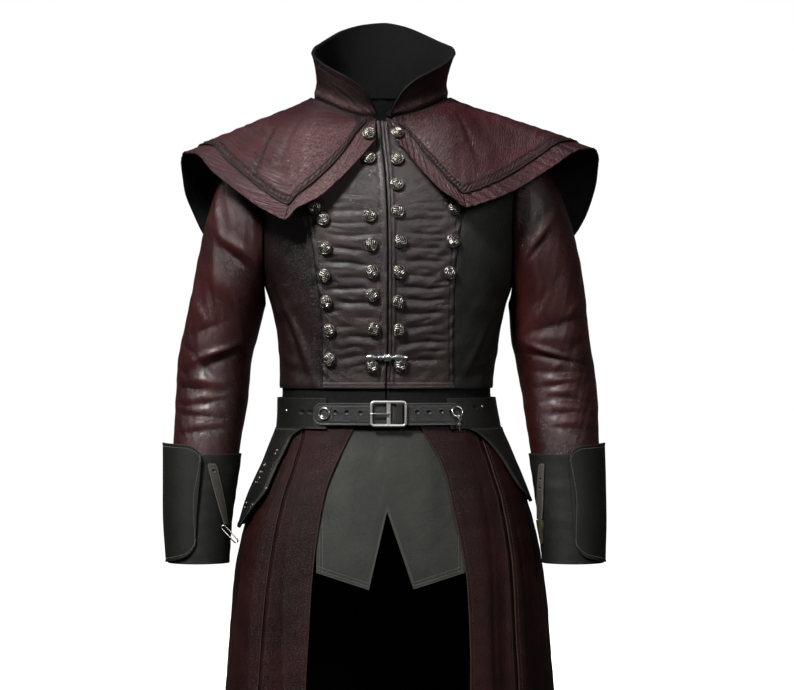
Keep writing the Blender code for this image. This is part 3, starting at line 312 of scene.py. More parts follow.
def shell(name, form, relief, across, along, inner, outer, finish, closed=False, flipped=False):
    """A leather wall. Its skins are the form's grid moved along the normals by relief plus outer and
    relief plus inner, joined round the edges. relief gets the two parameters and the distances in
    metres from the wall's left, right, top and end. It may set in gauge how much each point is
    darkened, as grime and painted shade, and lightened, as scuffs and painted sheen and highlight.
    closed joins the last column to the first. The UV map "cut" is the arc length across and down, in
    metres. The unseen skin has every second line of the grid, and lies under the lowest point near each
    corner, so that no fold of the other skin pokes through it."""
    across, along = (grid.astype(float) for grid in np.broadcast_arrays(across, along))
    points = form(across, along)
    normal = normals(form, across, along) * (-1 if flipped else 1)
    around = np.concatenate([points, points[:, :1]], 1) if closed else points
    s = np.cumsum(np.linalg.norm(np.diff(around, axis=1), axis=-1), 1)
    t = np.cumsum(np.linalg.norm(np.diff(points, axis=0), axis=-1), 0)
    rows, columns = across.shape
    u = np.concatenate([np.zeros((rows, 1)), s], 1)
    top = np.concatenate([np.zeros((1, columns)), t], 0)
    left = u[:, :columns]
    far = 1.0 if closed else 0.0
    gauge = types.SimpleNamespace(left=left + far, right=s[:, -1:] - left + far, top=top,
                                  end=t[-1:] - top, u=left, v=top, soot_and_shade=0 * left, wear_and_sheen=0 * left)
    height = relief(across, along, gauge) + 0 * left
    skins = [points + normal * (level + np.broadcast_to(offset, left.shape))[..., None]
             for level, offset in ((height, outer), (lowest_near(height, closed), inner))]
    wide = u.shape[1]
    n = rows * wide
    faces = wall_faces(rows, wide, closed)
    if flipped:
        faces = [face[::-1] for face in faces]
    loops = np.fromiter(itertools.chain.from_iterable(faces), int)
    ends = np.cumsum([len(face) for face in faces])
    row, column = np.divmod(np.arange(2 * n) % n, wide)
    vertex = row * columns + column % columns + np.repeat([0, rows * columns], n)
    kept, place = np.unique(vertex[loops], return_inverse=True)
    piece = add_mesh(name, np.concatenate([skin.reshape(-1, 3) for skin in skins])[kept],
                     np.split(place, ends[:-1]), finish)
    v = np.concatenate([top, top[:, :1]], 1)[:, :wide]
    cut_uv = np.tile(np.stack([u, v], -1).reshape(-1, 2), (2, 1))[loops]
    piece.data.uv_layers.new(name="cut").uv.foreach_set("vector", cut_uv.ravel().astype(np.float32))
    rim = nearest(gauge.left, gauge.right, gauge.top, gauge.end)
    for label, values in (("relief", height * 1000), ("rim", np.clip(rim * 1000, 0, 50)),
                          ("soot_and_shade", np.clip(gauge.soot_and_shade, 0, 1)), ("wear_and_sheen", np.clip(gauge.wear_and_sheen, 0, 1))):
        paint_points(piece, label, np.tile(values.ravel(), 2)[kept])
    paint_points(piece, "inside", np.repeat([0, 1], rows * columns)[kept])
    rounding = piece.modifiers.new("worn_edge", "BEVEL")
    rounding.width = 0.0006
    rounding.segments = 2
    rounding.limit_method = "ANGLE"
    rounding.angle_limit = math.radians(60)
    cell = np.linalg.norm(np.cross(points[1:, :-1] - points[:-1, :-1],
                                   points[:-1, 1:] - points[:-1, :-1]), axis=-1)
    return types.SimpleNamespace(piece=piece, skin=skins[0], normal=normal, gauge=gauge,
                                 size=(float(s[:, -1].max()), float(t[-1].max())),
                                 area=float(cell.sum()))


def noise(tree, place, scale, detail, **inputs):
    """The outputs of a cloudy noise: 0 is its value and 1 its colour."""
    return add_node(tree, "TexNoise", {"Vector": place, "Scale": scale, "Detail": detail, **inputs}).outputs


def cells(tree, place, scale):
    """Distance from the borders of a pattern of cells."""
    return add_node(tree, "TexVoronoi", {"Vector": place, "Scale": scale},
                    feature="DISTANCE_TO_EDGE").outputs["Distance"]


def ranged(tree, value, low, high, start=0.0, end=1.0, smooth=False):
    """start where the value is low, end where it is high, and held beyond."""
    return add_node(tree, "MapRange", {"Value": value, "From Min": low, "From Max": high, "To Min": start,
                                       "To Max": end},
                    interpolation_type="SMOOTHSTEP" if smooth else "LINEAR").outputs[0]


def add_scaled(tree, value, factor, rest, clamp=False):
    """value times factor plus the rest."""
    return add_node(tree, "Math", {0: value, 1: factor, 2: rest}, operation="MULTIPLY_ADD",
                    use_clamp=clamp).outputs[0]


def blend(tree, share, start, end):
    """From one colour to another by share."""
    return add_node(tree, "Mix", {0: share, 6: start, 7: end}, data_type="RGBA").outputs[2]


def painted(tree, label):
    """A value that paint_points stored."""
    return add_node(tree, "Attribute", {}, attribute_name=label).outputs["Fac"]


def leather(name, dark, light, rubbed, edge, grain_mm=2.0, crease_mm=(12, 18), roughness=0.40,
            grain_depth=0.0003, edge_mm=1.0, crackle=0.2, shine=0.35):
    """Finished leather: pebbled grain of grain_mm, fine creases of crease_mm across and down the cut,
    clouds of dye from dark to light, the flesh side black. Fold crests, and the speckled patches a piece
    asks for, lighten towards the rubbed colour: partly rub marks, partly painted highlight and sheen.
    Fold troughs darken as painted shade; seams, grooves and holes darken as grime and painted shade."""
    made, tree, shader = new_material(name)
    place = add_node(tree, "TexCoord", {}).outputs["Object"]
    cut_place = add_node(tree, "UVMap", {}, uv_map="cut").outputs[0]
    pebble = ranged(tree, cells(tree, place, 1000 / grain_mm), 0.0, 0.24, smooth=True)
    per_metre = (1000 / crease_mm[0], 1000 / crease_mm[1], 1)
    stretched = add_node(tree, "VectorMath", {0: cut_place, 1: per_metre}, operation="MULTIPLY").outputs[0]
    warp = noise(tree, stretched, 0.8, 4.0)[1]
    warped = add_node(tree, "VectorMath", {0: warp, 1: (0.8, 0.8, 0), 2: stretched},
                      operation="MULTIPLY_ADD").outputs[0]
    crease = ranged(tree, cells(tree, warped, 1.0), 0.0, 0.13, 1 - crackle, smooth=True)
    height = add_scaled(tree, crease, 2.0, pebble)
    grain = add_node(tree, "Bump", {"Height": height, "Strength": 0.7, "Distance": grain_depth})
    clouds = ranged(tree, noise(tree, place, 11.0, 4.0, Roughness=0.6)[0], 0.34, 0.68)
    dyed = blend(tree, clouds, srgb(dark), srgb(light))
    fold = painted(tree, "relief")
    # Fold crests and the pieces' scuff patches lighten the dye: partly rub marks, partly painted highlight
    # and sheen.
    crest_rub_and_highlight = ranged(tree, fold, 0.5, 4.0, 0.0, 0.30)
    patchy = ranged(tree, noise(tree, place, 380.0, 4.0, Roughness=0.7)[0], 0.36, 0.60)
    scuff_and_highlight_share = add_scaled(tree, painted(tree, "wear_and_sheen"), patchy, crest_rub_and_highlight, clamp=True)
    worn = blend(tree, scuff_and_highlight_share, dyed, srgb(rubbed))
    # Fold troughs darken as painted shade. The pieces' marked seams, grooves and holes darken as grime and
    # painted shade.
    trough = ranged(tree, fold, -3.0, -0.4, 0.4, 0.0)
    grime_and_shade = add_scaled(tree, painted(tree, "soot_and_shade"), 0.85, trough, clamp=True)
    creased = ranged(tree, height, 0.0, 3.0, 0.35)
    lined = add_node(tree, "VectorMath", {0: worn, 1: creased}, operation="MULTIPLY").outputs[0]
    grimed_and_shaded = blend(tree, grime_and_shade, lined, srgb("#070505"))
    rim_share = ranged(tree, painted(tree, "rim"), edge_mm * 0.4, edge_mm * 1.5, 0.85, 0.0)
    edged = blend(tree, rim_share, grimed_and_shaded, srgb(edge))
    flesh = ranged(tree, painted(tree, "inside"), 0.55, 0.95)
    gloss = ranged(tree, height, 0.0, 3.0, roughness + 0.25, roughness - 0.03)
    set_inputs(tree, shader, {"Base Color": blend(tree, flesh, edged, srgb("#0c0b0b")),
                              "Roughness": add_scaled(tree, flesh, 0.4, gloss, clamp=True),
                              "Normal": grain.outputs[0], "IOR": 1.5, "Specular IOR Level": shine})
    return made


def dress(piece, slot, *nodes, body="coat"):
    """The piece rides on its body and stands for the nodes. Its slot is not used."""
    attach(piece, body)
    if nodes:
        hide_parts(*nodes)


def cut(wall, slot, node):
    dress(wall.piece, slot, node)


def armhole_edge(down, reach):
    """Turn from the side seam to the armhole's edge at each height; 0 above and below it."""
    share = np.clip((down - SHOULDER_DOWN) / (ARMPIT_DOWN - SHOULDER_DOWN), 0, 1)
    return reach * np.sqrt(np.clip(1 - (1 - 2 * share)**2, 0, 1))


def between(one, other, columns):
    """Turns from one edge to the other, one row for each height, less the seam's gap."""
    left = np.minimum(one, other)[:, None] + SEAM_TURN
    right = np.maximum(one, other)[:, None] - SEAM_TURN
    return left + (right - left) * np.linspace(0, 1, columns)


maroon = leather("burnished_maroon_leather", "#220a0a", "#3b1716", "#5e3734", "#1f0e0e", 1.6, (16, 9), 0.28,
                 0.0002, crackle=0.12, shine=0.40)
dusky = leather("dusky_brown_leather", "#231a19", "#382c2a", "#5d4f4c", "#231b1b", 1.6, (16, 8), 0.36,
                shine=0.45)
shadowed = leather("dark_oxblood_leather", "#120909", "#241413", "#382523", "#190e0e", 1.8, (12, 16), 0.38)
black = leather("black_cowhide", "#080806", "#13120f", "#201e1a", "#191814", 1.6, (12, 16), 0.42)
# A lighter, greenish copy of the black cowhide for the left side front: partly faded dye, partly a painted
# sheen.
sheen_lit_faded_black = leather("faded_black_cowhide_with_painted_sheen", "#171712", "#26261f", "#34342c", "#1c1b17", 1.6, (12, 16), 0.42)
grey = leather("grey_waxed_leather", "#252621", "#32332d", "#43443e", "#45463f", 1.5, (14, 14), 0.54, 0.0002)

BACK_CREASES = folds(
    (2.60, 0.362, 0.55, 0.009, 0.020, -0.0022), (3.35, 0.376, 0.60, 0.008, -0.015, -0.0026),
    (3.85, 0.352, 0.45, 0.010, -0.040, -0.0020), (2.90, 0.335, 0.50, 0.010, 0.030, 0.0022),
    (3.50, 0.345, 0.50, 0.010, -0.020, 0.0024), (2.35, 0.270, 0.35, 0.014, 0.110, 0.0026),
    (4.00, 0.262, 0.33, 0.013, -0.120, 0.0024), (2.45, 0.235, 0.30, 0.012, 0.120, -0.0022),
    (3.15, 0.389, 0.80, 0.007, 0.000, 0.0018), (3.90, 0.228, 0.28, 0.012, -0.110, -0.0020))


def back_relief(turn, down, gauge):
    """Creases across the waist and from the armholes, a swell, and a groove down the middle seam."""
    middle = bump((turn - math.pi) * 0.11, 0.0016)
    # Darker along the neck seam, the middle seam's groove and the hem: grime and painted shade in the
    # grooves.
    gauge.soot_and_shade = bump(gauge.top, 0.007) + 0.8 * middle + 0.7 * bump(gauge.end, 0.003)
    return (creases(BACK_CREASES, turn, down) + 0.0005 * crumple(gauge.u, gauge.v, 0.021, 1.3)
            - 0.0009 * middle - 0.0006 * bump(gauge.top, 0.003) - 0.0006 * bump(gauge.end, 0.002))


neck_rows = np.linspace(0, SHOULDER_DOWN, 18)[:-1]
armhole_share = (1 - np.cos(np.linspace(0, math.pi, 40))) / 2
armhole_rows = SHOULDER_DOWN + (ARMPIT_DOWN - SHOULDER_DOWN) * armhole_share
body_rows = np.concatenate([neck_rows, armhole_rows, np.linspace(ARMPIT_DOWN, BODICE_HEM, 36)[1:]])
back_reach = math.pi / 2 + armhole_edge(body_rows, ARMHOLE_BACK)
back = shell("back_panel", trunk, back_relief, between(back_reach, 2 * math.pi - back_reach, 91),
             body_rows[:, None], -LEATHER, 0, black)
cut(back, "black_leather", "back")

# The side fronts: narrow panels between the button front's seam and the side seam, of dark oxblood
# leather on the wearer's right and black on the left, sewn in with a puckered seam.
WORN = {-1: "right", 1: "left"}
PLASTRON_EDGE = {
    -1: table("down x", (0.000, -0.075), (0.085, -0.130), (0.150, -0.116), (0.170, -0.113),
              (0.201, -0.106), (0.243, -0.100), (0.329, -0.092), (0.403, -0.092)),
    1: table("down x", (0.000, 0.070), (0.085, 0.122), (0.150, 0.108), (0.170, 0.1065),
             (0.201, 0.102), (0.243, 0.098), (0.329, 0.096), (0.403, 0.097))}
SIDE_CREASES = {
    -1: folds((-0.90, 0.335, 0.16, 0.016, 0.30, 0.0036), (-1.05, 0.322, 0.16, 0.014, 0.30, -0.0026),
              (-1.20, 0.262, 0.30, 0.012, -0.07, -0.0022), (-1.10, 0.290, 0.30, 0.010, -0.03, 0.0018),
              (-1.05, 0.376, 0.40, 0.008, 0.02, -0.0020), (-1.20, 0.360, 0.35, 0.008, 0.04, 0.0018),
              (-0.95, 0.225, 0.22, 0.012, -0.10, -0.0018), (-1.30, 0.310, 0.25, 0.009, -0.02, -0.0020)),
    1: folds((0.95, 0.345, 0.20, 0.014, -0.22, 0.0022), (1.05, 0.330, 0.20, 0.012, -0.22, -0.0022),
             (1.15, 0.265, 0.30, 0.012, 0.07, -0.0020), (1.10, 0.292, 0.30, 0.010, 0.03, 0.0016),
             (1.05, 0.380, 0.40, 0.008, -0.02, -0.0018), (1.25, 0.362, 0.35, 0.008, -0.04, 0.0016))}


def turn_at(x, down):
    """Turn on the front of the trunk where it reaches x."""
    middle, half_width = (read_at(TRUNK, down, name) for name in ("middle", "half_width"))
    return np.arcsin(np.clip((x - middle) / half_width, -1, 1))


def edge_turn(rows, down):
    """Turn where an edge table's x lies on the front of the trunk."""
    return turn_at(read_at(rows, down), down)


def side_relief(side, turn, down, gauge):
    """Folds that run down from the armhole to the waist, and tiny puckers along both seams."""
    seam = gauge.right if side < 0 else gauge.left
    # Darker along both seams, the top edge and the hem: grime and painted shade in the grooves.
    gauge.soot_and_shade = bump(seam, 0.0035) + 0.8 * bump(gauge.end, 0.003) + bump(gauge.top, 0.007)
    puckers = 0.0004 * np.sin(gauge.v / 0.0042) * bump(seam - 0.003, 0.004)
    return (creases(SIDE_CREASES[side], turn, down) + puckers - 0.0009 * bump(seam, 0.0022)
            + 0.0004 * crumple(gauge.u, gauge.v, 0.017, 2.1 + side) - 0.0006 * bump(gauge.end, 0.002))


for side, word in WORN.items():
    seam = edge_turn(PLASTRON_EDGE[side], body_rows)
    outer = side * (math.pi / 2 - armhole_edge(body_rows, ARMHOLE_FRONT))
    panel = shell(f"side_front_panel_{word}", trunk, partial(side_relief, side),
                  between(seam, outer, 36), body_rows[:, None], -LEATHER, 0,
                  shadowed if side < 0 else sheen_lit_faded_black)
    cut(panel, "dark_maroon_leather" if side < 0 else "black_leather", f"side_front_{word}")

# The button fronts: each gathered on its seams into uneven troughs that the buttons hold flat, with
# a piped hem, two raised welts on the left edge of the opening and a puckered stitch row on the right.
OPENING_HALF, GATHER_FULLNESS = 0.0035, 1.12
GATHERS = {
    -1: table("down depth start end",
              (0.124, 0.0010, 0.15, 0.80), (0.147, 0.0018, 0.05, 0.70), (0.166, 0.0012, 0.10, 0.95),
              (0.184, 0.0020, 0.05, 0.75), (0.205, 0.0026, 0.20, 0.90), (0.226, 0.0028, 0.05, 0.95),
              (0.247, 0.0016, 0.10, 0.70), (0.263, 0.0024, 0.15, 0.95), (0.283, 0.0026, 0.05, 0.80),
              (0.303, 0.0018, 0.05, 0.55), (0.331, 0.0020, 0.05, 0.75), (0.358, 0.0018, 0.15, 0.95),
              (0.137, 0.0007, 0.40, 0.95), (0.175, 0.0009, 0.45, 1.00), (0.194, 0.0010, 0.30, 0.60),
              (0.216, 0.0011, 0.50, 1.00), (0.236, 0.0010, 0.35, 0.85), (0.255, 0.0012, 0.60, 1.00),
              (0.273, 0.0011, 0.30, 0.70), (0.293, 0.0012, 0.55, 1.00), (0.317, 0.0012, 0.40, 0.95),
              (0.345, 0.0012, 0.30, 0.80), (0.371, 0.0010, 0.10, 0.60)),
    1: table("down depth start end",
             (0.139, 0.0010, 0.15, 0.80), (0.163, 0.0016, 0.10, 0.80), (0.184, 0.0012, 0.15, 0.90),
             (0.204, 0.0016, 0.05, 0.80), (0.222, 0.0020, 0.10, 0.90), (0.243, 0.0016, 0.10, 0.80),
             (0.260, 0.0024, 0.05, 0.95), (0.277, 0.0024, 0.10, 0.95), (0.296, 0.0020, 0.10, 0.90),
             (0.315, 0.0016, 0.05, 0.80), (0.338, 0.0022, 0.10, 0.95), (0.364, 0.0020, 0.10, 0.85),
             (0.151, 0.0008, 0.40, 0.95), (0.174, 0.0009, 0.35, 0.80), (0.194, 0.0009, 0.50, 1.00),
             (0.213, 0.0010, 0.45, 0.95), (0.233, 0.0011, 0.30, 0.70), (0.251, 0.0010, 0.50, 1.00),
             (0.269, 0.0012, 0.40, 0.85), (0.287, 0.0011, 0.55, 1.00), (0.306, 0.0012, 0.35, 0.75),
             (0.327, 0.0012, 0.45, 0.95), (0.351, 0.0011, 0.40, 1.00))}
BUTTONS = {
    "inner_right": table("x down", (-0.0250, 0.0645), (-0.0235, 0.1546), (-0.0220, 0.1986),
                         (-0.0206, 0.238), (-0.0206, 0.2705), (-0.0179, 0.318)),
    "outer_right": table("x down", (-0.0886, 0.1637), (-0.0857, 0.2047), (-0.0872, 0.243),
                         (-0.0845, 0.280), (-0.0803, 0.3195), (-0.0804, 0.3606)),
    "inner_left": table("x down", (0.0145, 0.066), (0.0145, 0.1045), (0.0152, 0.148),
                        (0.0187, 0.1937), (0.0173, 0.238), (0.0159, 0.280), (0.0173, 0.3195)),
    "outer_left": table("x down", (0.0949, 0.1497), (0.0921, 0.1952), (0.0879, 0.239))}


def gathered(side, turn, down):
    """Height of the gathers: troughs from start to end across the panel, faded round buttons."""
    share = turn / edge_turn(PLASTRON_EDGE[side], down)
    wander = 0.0016 * np.sin(share * 5 + 2.0 * side + down * 25) + 0.0007 * np.sin(share * 13 + down * 60)
    depth = 0.0
    for at, size, start, end in zip(*GATHERS[side].values()):
        inside = np.clip((share - start) / 0.20, 0, 1) * np.clip((end - share) / 0.20, 0, 1)
        tall = 0.0040 if size > 0.0013 else 0.0026
        bow = 0.004 * np.sin(at * 400) * (share - 0.5)
        below = down + wander + bow - at
        trough = np.exp(-np.sqrt((below / tall)**2 + 0.08) + 0.2828)
        depth = depth + size * inside * (1.15 * trough - 0.40 * bump(below - 2.2 * tall, 1.2 * tall))
    points = trunk(turn, down)
    for rows in BUTTONS.values():
        for x, at in zip(rows["x"], rows["down"]):
            depth = depth * (1 - bump(np.hypot(points[..., 0] - x, down - at), 0.010))
    return -depth


def front_relief(side, turn, down, gauge):
    """Gathers, puckers along the outer seam, the opening's edge and a double-piped hem."""
    outer, centre = (gauge.left, gauge.right) if side < 0 else (gauge.right, gauge.left)
    # Darker along the seams, the stitch rows and the groove between the welts: grime and painted shade.
    gauge.soot_and_shade = bump(outer, 0.0028) + 0.8 * bump(centre, 0.0016) + 0.7 * bump(outer - 0.0075, 0.0012)
    height = gathered(side, turn, down) + 0.0005 * crumple(gauge.u * 0.5, gauge.v, 0.008, 3.0 + side)
    height = height + 0.0006 * np.sin(gauge.v / 0.0035 + np.sin(gauge.v / 0.011)) * bump(outer - 0.004, 0.005)
    height = height - 0.0010 * bump(outer, 0.0020) - 0.0008 * bump(outer - 0.0075, 0.0011)
    if side < 0:
        height = height - 0.0008 * bump(centre - 0.0085, 0.0012) * (0.6 + 0.4 * np.sin(gauge.v / 0.0009))
        height = height + 0.0005 * np.sin(gauge.v / 0.0028) * bump(centre - 0.011, 0.003)
        height = height + 0.0010 * bump(centre - 0.003, 0.0022)
        gauge.soot_and_shade = gauge.soot_and_shade + 0.6 * bump(centre - 0.0085, 0.0012) * (np.sin(gauge.v / 0.0009) < 0)
    else:
        height = height + 0.0020 * bump(centre - 0.0026, 0.0017) + 0.0018 * bump(centre - 0.0076, 0.0018)
        height = height - 0.0006 * bump(centre - 0.0051, 0.0009)
        gauge.soot_and_shade = gauge.soot_and_shade + 0.7 * bump(centre - 0.0051, 0.0008) + 0.6 * bump(centre - 0.0105, 0.0012)
    fade = 1 - bump(gauge.end, 0.009)
    piping = 0.0010 * bump(gauge.end - 0.0022, 0.0016) + 0.0009 * bump(gauge.end - 0.0066, 0.0016)
    return height * fade + piping - 0.0006 * bump(gauge.end - 0.0095, 0.0010)


front_rows = np.linspace(0.0, BODICE_HEM, 270)
for side, word in WORN.items():
    seam = edge_turn(PLASTRON_EDGE[side], front_rows)
    centre = OPENING_HALF * side + 0 * seam
    panel = shell(f"button_front_{word}", trunk, partial(front_relief, side),
                  between(seam, centre, 76), front_rows[:, None], -LEATHER, 0, dusky)
    cut(panel, "brown_leather", f"front_{word}")

# The buttons: stamped domes of blackened silver with a beaded rim and a basket weave, each on a
# short shank. The top one of each inner row is on the cape; three more than the solids have sit
# under the clasp and in the right outer row.
BUTTON_RADIUS, BUTTON_HEIGHT = 0.0096, 0.0078
BUTTON_STAND, BUTTON_TURN = 0.0004, 0.4     # gap under a button; how much further each one is turned
CHECK, RIDGE = 0.0065, 0.0028


def metal(name, dark, bright, roughness, hollow_mm):
    """Worn metal: bright where it is rubbed, dark tarnish in its hollows, fine scratches."""
    made, tree, shader = new_material(name)
    place = add_node(tree, "TexCoord", {}).outputs["Object"]
    raised = ranged(tree, painted(tree, "relief"), -hollow_mm, hollow_mm * 0.4)
    clean = add_scaled(tree, noise(tree, place, 420.0, 5.0)[0], 0.55, raised)
    colour = blend(tree, ranged(tree, clean, 0.45, 1.15), srgb(dark), srgb(bright))
    scratch = noise(tree, place, 1500.0, 3.0)[0]
    rough = ranged(tree, scratch, 0.3, 0.7, roughness - 0.06, roughness + 0.12)
    set_inputs(tree, shader, {"Base Color": colour, "Roughness": rough, "Metallic": 1.0})
    return made


def frame_on(form, turn, down, out, flipped=False):
    """4x4 placement on a form: local Z out along its normal, local Y up it, moved out by out."""
    turn, down = np.array([turn], float), np.array([down], float)
    normal = normals(form, turn, down)[0] * (-1 if flipped else 1)
    across = np.cross((0, 0, 1), normal)
    across = across / np.linalg.norm(across)
    place = np.eye(4)
    place[:3, :3] = np.stack([across, np.cross(normal, across), normal], 1)
    place[:3, 3] = form(turn, down)[0] + normal * out
    return place


def on_front(x, down, out, form=trunk):
    """Placement on the front of a form, where it reaches x."""
    return frame_on(form, float(turn_at(x, down)), down, out)


def placed(points, place):
    """Points moved by a 4x4 placement."""
    return points @ place[:3, :3].T + place[:3, 3]


def shift(x, y, z):
    """A move along the local axes."""
    moved = np.eye(4)
    moved[:3, 3] = (x, y, z)
    return moved


def turned(axis, angle):
    """A turn about a local axis: 0 is X, 1 is Y and 2 is Z."""
    place = np.eye(4)
    one, other = (axis + 1) % 3, (axis + 2) % 3
    place[one, one] = place[other, other] = math.cos(angle)
    place[other, one], place[one, other] = math.sin(angle), -math.sin(angle)
    return place


def round_angles(count):
    """Angles once round, evenly."""
    return np.linspace(0, 2 * math.pi, count, endpoint=False)


def tube_faces(rows, columns, closed=False):
    """Faces round rows of rings, each anticlockwise seen from the next: quads, and a flat face at
    both ends, or the last ring joined to the first."""
    index = np.arange(rows * columns).reshape(rows, columns)
    ends = [] if closed else [index[0, ::-1].tolist(), index[-1].tolist()]
    index = np.concatenate([index, index[:, :1]], 1)
    if closed:
        index = np.concatenate([index, index[:1]], 0)
    quads = np.stack([index[:-1, 1:], index[1:, 1:], index[1:, :-1], index[:-1, :-1]], -1)
    return quads.reshape(-1, 4).tolist() + ends


def copied(faces, size, first, count):
    """Faces of count copies of a block of size points, the first of which is point first."""
    return [[first + size * k + point for point in face] for k in range(count) for face in faces]


def engraved_dome(share, angle):
    """Height over the base: a dome with a beaded rim, carved with a basket weave, whose ridges run
    across on one check and up on the next."""
    dome = BUTTON_HEIGHT * (0.40 + 0.60 * np.sqrt(np.clip(1 - share**2, 0, 1)))
    x, y = BUTTON_RADIUS * share * np.cos(angle), BUTTON_RADIUS * share * np.sin(angle)
    check = np.sin(x * math.pi / CHECK + 0.5) * np.sin(y * math.pi / CHECK + 0.5) > 0
    weave = 0.00055 * np.where(check, np.cos(x * 2 * math.pi / RIDGE), np.cos(y * 2 * math.pi / RIDGE))
    beads = 0.00045 * np.abs(np.sin(angle * 13)) * bump(share - 0.90, 0.07)
    return dome, beads + weave * (share < 0.80) - 0.00060 * bump(share - 0.82, 0.04)


def button(name, place, finish):
    """One button: the engraved dome, a rolled rim and a flat underside down to the shank."""
    share = np.concatenate([np.linspace(0.02, 0.97, 23), [1.0]])[:, None]
    angle = round_angles(56)[None, :]
    dome, carved = engraved_dome(share, angle)
    radius = BUTTON_RADIUS * share + 0 * angle
    top = np.stack([radius * np.cos(angle), radius * np.sin(angle), dome + carved], -1)
    rim = [(1.0, 0.34), (0.93, 0.24), (0.62, 0.16), (0.28, 0.10), (0.26, 0.0), (0.02, 0.0)]
    under = np.stack([np.stack([BUTTON_RADIUS * r * np.cos(angle[0]), BUTTON_RADIUS * r * np.sin(angle[0]),
                                BUTTON_HEIGHT * h + 0 * angle[0]], -1) for r, h in rim])
    points = np.concatenate([top, under])
    rows, columns = points.shape[:2]
    faces = [face[::-1] for face in tube_faces(rows, columns)]
    made = add_mesh(name, placed(points.reshape(-1, 3), place), faces, finish, 70)
    paint_points(made, "relief", np.concatenate([carved * 1000, np.full((len(rim), columns), -0.4)]))
    return made


blackened = metal("blackened_silver", "#0e0c0a", "#a19c93", 0.34, 0.35)
silver = metal("polished_silver", "#a3a098", "#eae8e2", 0.20, 0.7)
EXTRA_BUTTONS = {"outer_right": table("x down", (-0.1010, 0.149)),
                 "clasp_right": table("x down", (-0.0205, 0.3705)),
                 "clasp_left": table("x down", (0.0190, 0.3690))}
for group, replaced in ((BUTTONS, True), (EXTRA_BUTTONS, False)):
    for column, rows in group.items():
        first = 2 if column.startswith("inner") else 1
        for number, (x, down) in enumerate(zip(rows["x"], rows["down"]), first):
            place = on_front(x, down, BUTTON_STAND) @ turned(2, BUTTON_TURN * number)
            label = f"dome_{column}_{number}" if replaced else f"extra_dome_{column}_{number}"
            nodes = [f"button_{column}_{number}"] if replaced else []
            dress(button(label, place, blackened), "antique_silver", *nodes)

# The clasp: a cast silver hook and eye across the opening, a barrel between two tapered arms.
CLASP_X, CLASP_FRONT, CLASP_DOWN, CLASP_TALL = -0.0305, 0.1141, 0.359, 1.6
CLASP = table("radius along", (0.0002, 0.0), (0.0012, 0.0010), (0.0026, 0.004), (0.0031, 0.009),
              (0.0029, 0.0125), (0.0017, 0.0142), (0.0015, 0.0190), (0.0022, 0.0200), (0.0022, 0.0235),
              (0.0015, 0.0245), (0.0016, 0.0258), (0.0033, 0.0268), (0.0034, 0.0290), (0.0030, 0.0315),
              (0.0034, 0.0340), (0.0033, 0.0362), (0.0017, 0.0374), (0.0016, 0.0400), (0.0030, 0.0425),
              (0.0031, 0.0480), (0.0026, 0.0540), (0.0013, 0.0595), (0.0002, 0.0605))


def turned_bar(name, profile, steps, place, finish):
    """A bar turned round its local X: a smooth curve through (along, radius), closed at its ends."""
    along = np.linspace(profile["along"][0], profile["along"][-1], 150)
    radius = curve(along, profile["along"], profile["radius"])
    angle = round_angles(steps)
    points = np.stack([along[:, None] + 0 * angle, radius[:, None] * np.cos(angle),
                       radius[:, None] * np.sin(angle)], -1)
    return add_mesh(name, placed(points.reshape(-1, 3), place), tube_faces(len(along), steps), finish)


clasp_place = shift(CLASP_X, -CLASP_FRONT, -CLASP_DOWN) @ np.diag([1, 1, CLASP_TALL, 1])
dress(turned_bar("hook_clasp", CLASP, 20, clasp_place, silver), "silver", "clasp")

# The waistband: a plain black band inside the bodice's hem, behind the belt and over the skirt's top.
band_rows = np.array([0.397, 0.401, 0.405, 0.410, 0.415, 0.420, 0.426, 0.432, 0.438, 0.445, 0.453,
                      0.461])[:, None]
band_turns = np.linspace(0.006, 2 * math.pi - 0.006, 181)[None, :]
band_outer = -LEATHER - np.interp(band_rows, [0.410, 0.432], [0.0018, 0.0012])


def band_relief(turn, down, gauge):
    """A slight swell, and a fine wrinkle every few centimetres."""
    return 0.0003 * crumple(gauge.u, gauge.v, 0.012, 0.7) - 0.0005 * bump(np.sin(turn * 9 + 3 * down), 0.1)


matt_black = leather("matt_black_cowhide", "#050605", "#0c0d0c", "#161715", "#0f100f", 1.6, (12, 16), 0.50,
                     shine=0.15)
band = shell("waist_band", trunk, band_relief, band_turns, band_rows, band_outer - LEATHER, band_outer,
             matt_black)
cut(band, "black_leather", "waistband")

# The apron: grey suede-finished leather hung from the waistband, notched at its middle, with two
# rows of grey stitching inside its free edges.
APRON = table("x down", (-0.100, 0.661), (-0.025, 0.684), (0.0005, 0.575), (0.038, 0.683), (0.111, 0.661))
WAISTBAND_END, APRON_INSIDE, HANG_GAP = 0.461, 0.0015, 0.0004
APRON_ROWS = (0.0045, 0.0095)
apron_x = np.sort(np.concatenate([np.linspace(-0.100, 0.111, 80), APRON["x"][1:-1]]))[None, :]
apron_end = np.interp(apron_x, APRON["x"], APRON["down"])
apron_top = WAISTBAND_END + HANG_GAP
apron_down = apron_top + (apron_end - WAISTBAND_END - HANG_GAP) * np.linspace(0, 1, 77)[:, None]
APRON_FOLDS = folds((-0.30, 0.560, 0.07, 0.090, 0.2, 0.0012), (0.28, 0.570, 0.08, 0.090, -0.2, 0.0010),
                    (-0.12, 0.500, 0.05, 0.050, 0.0, -0.0008), (0.42, 0.520, 0.06, 0.060, 0.0, -0.0009),
                    (-0.45, 0.540, 0.05, 0.080, 0.0, -0.0010))


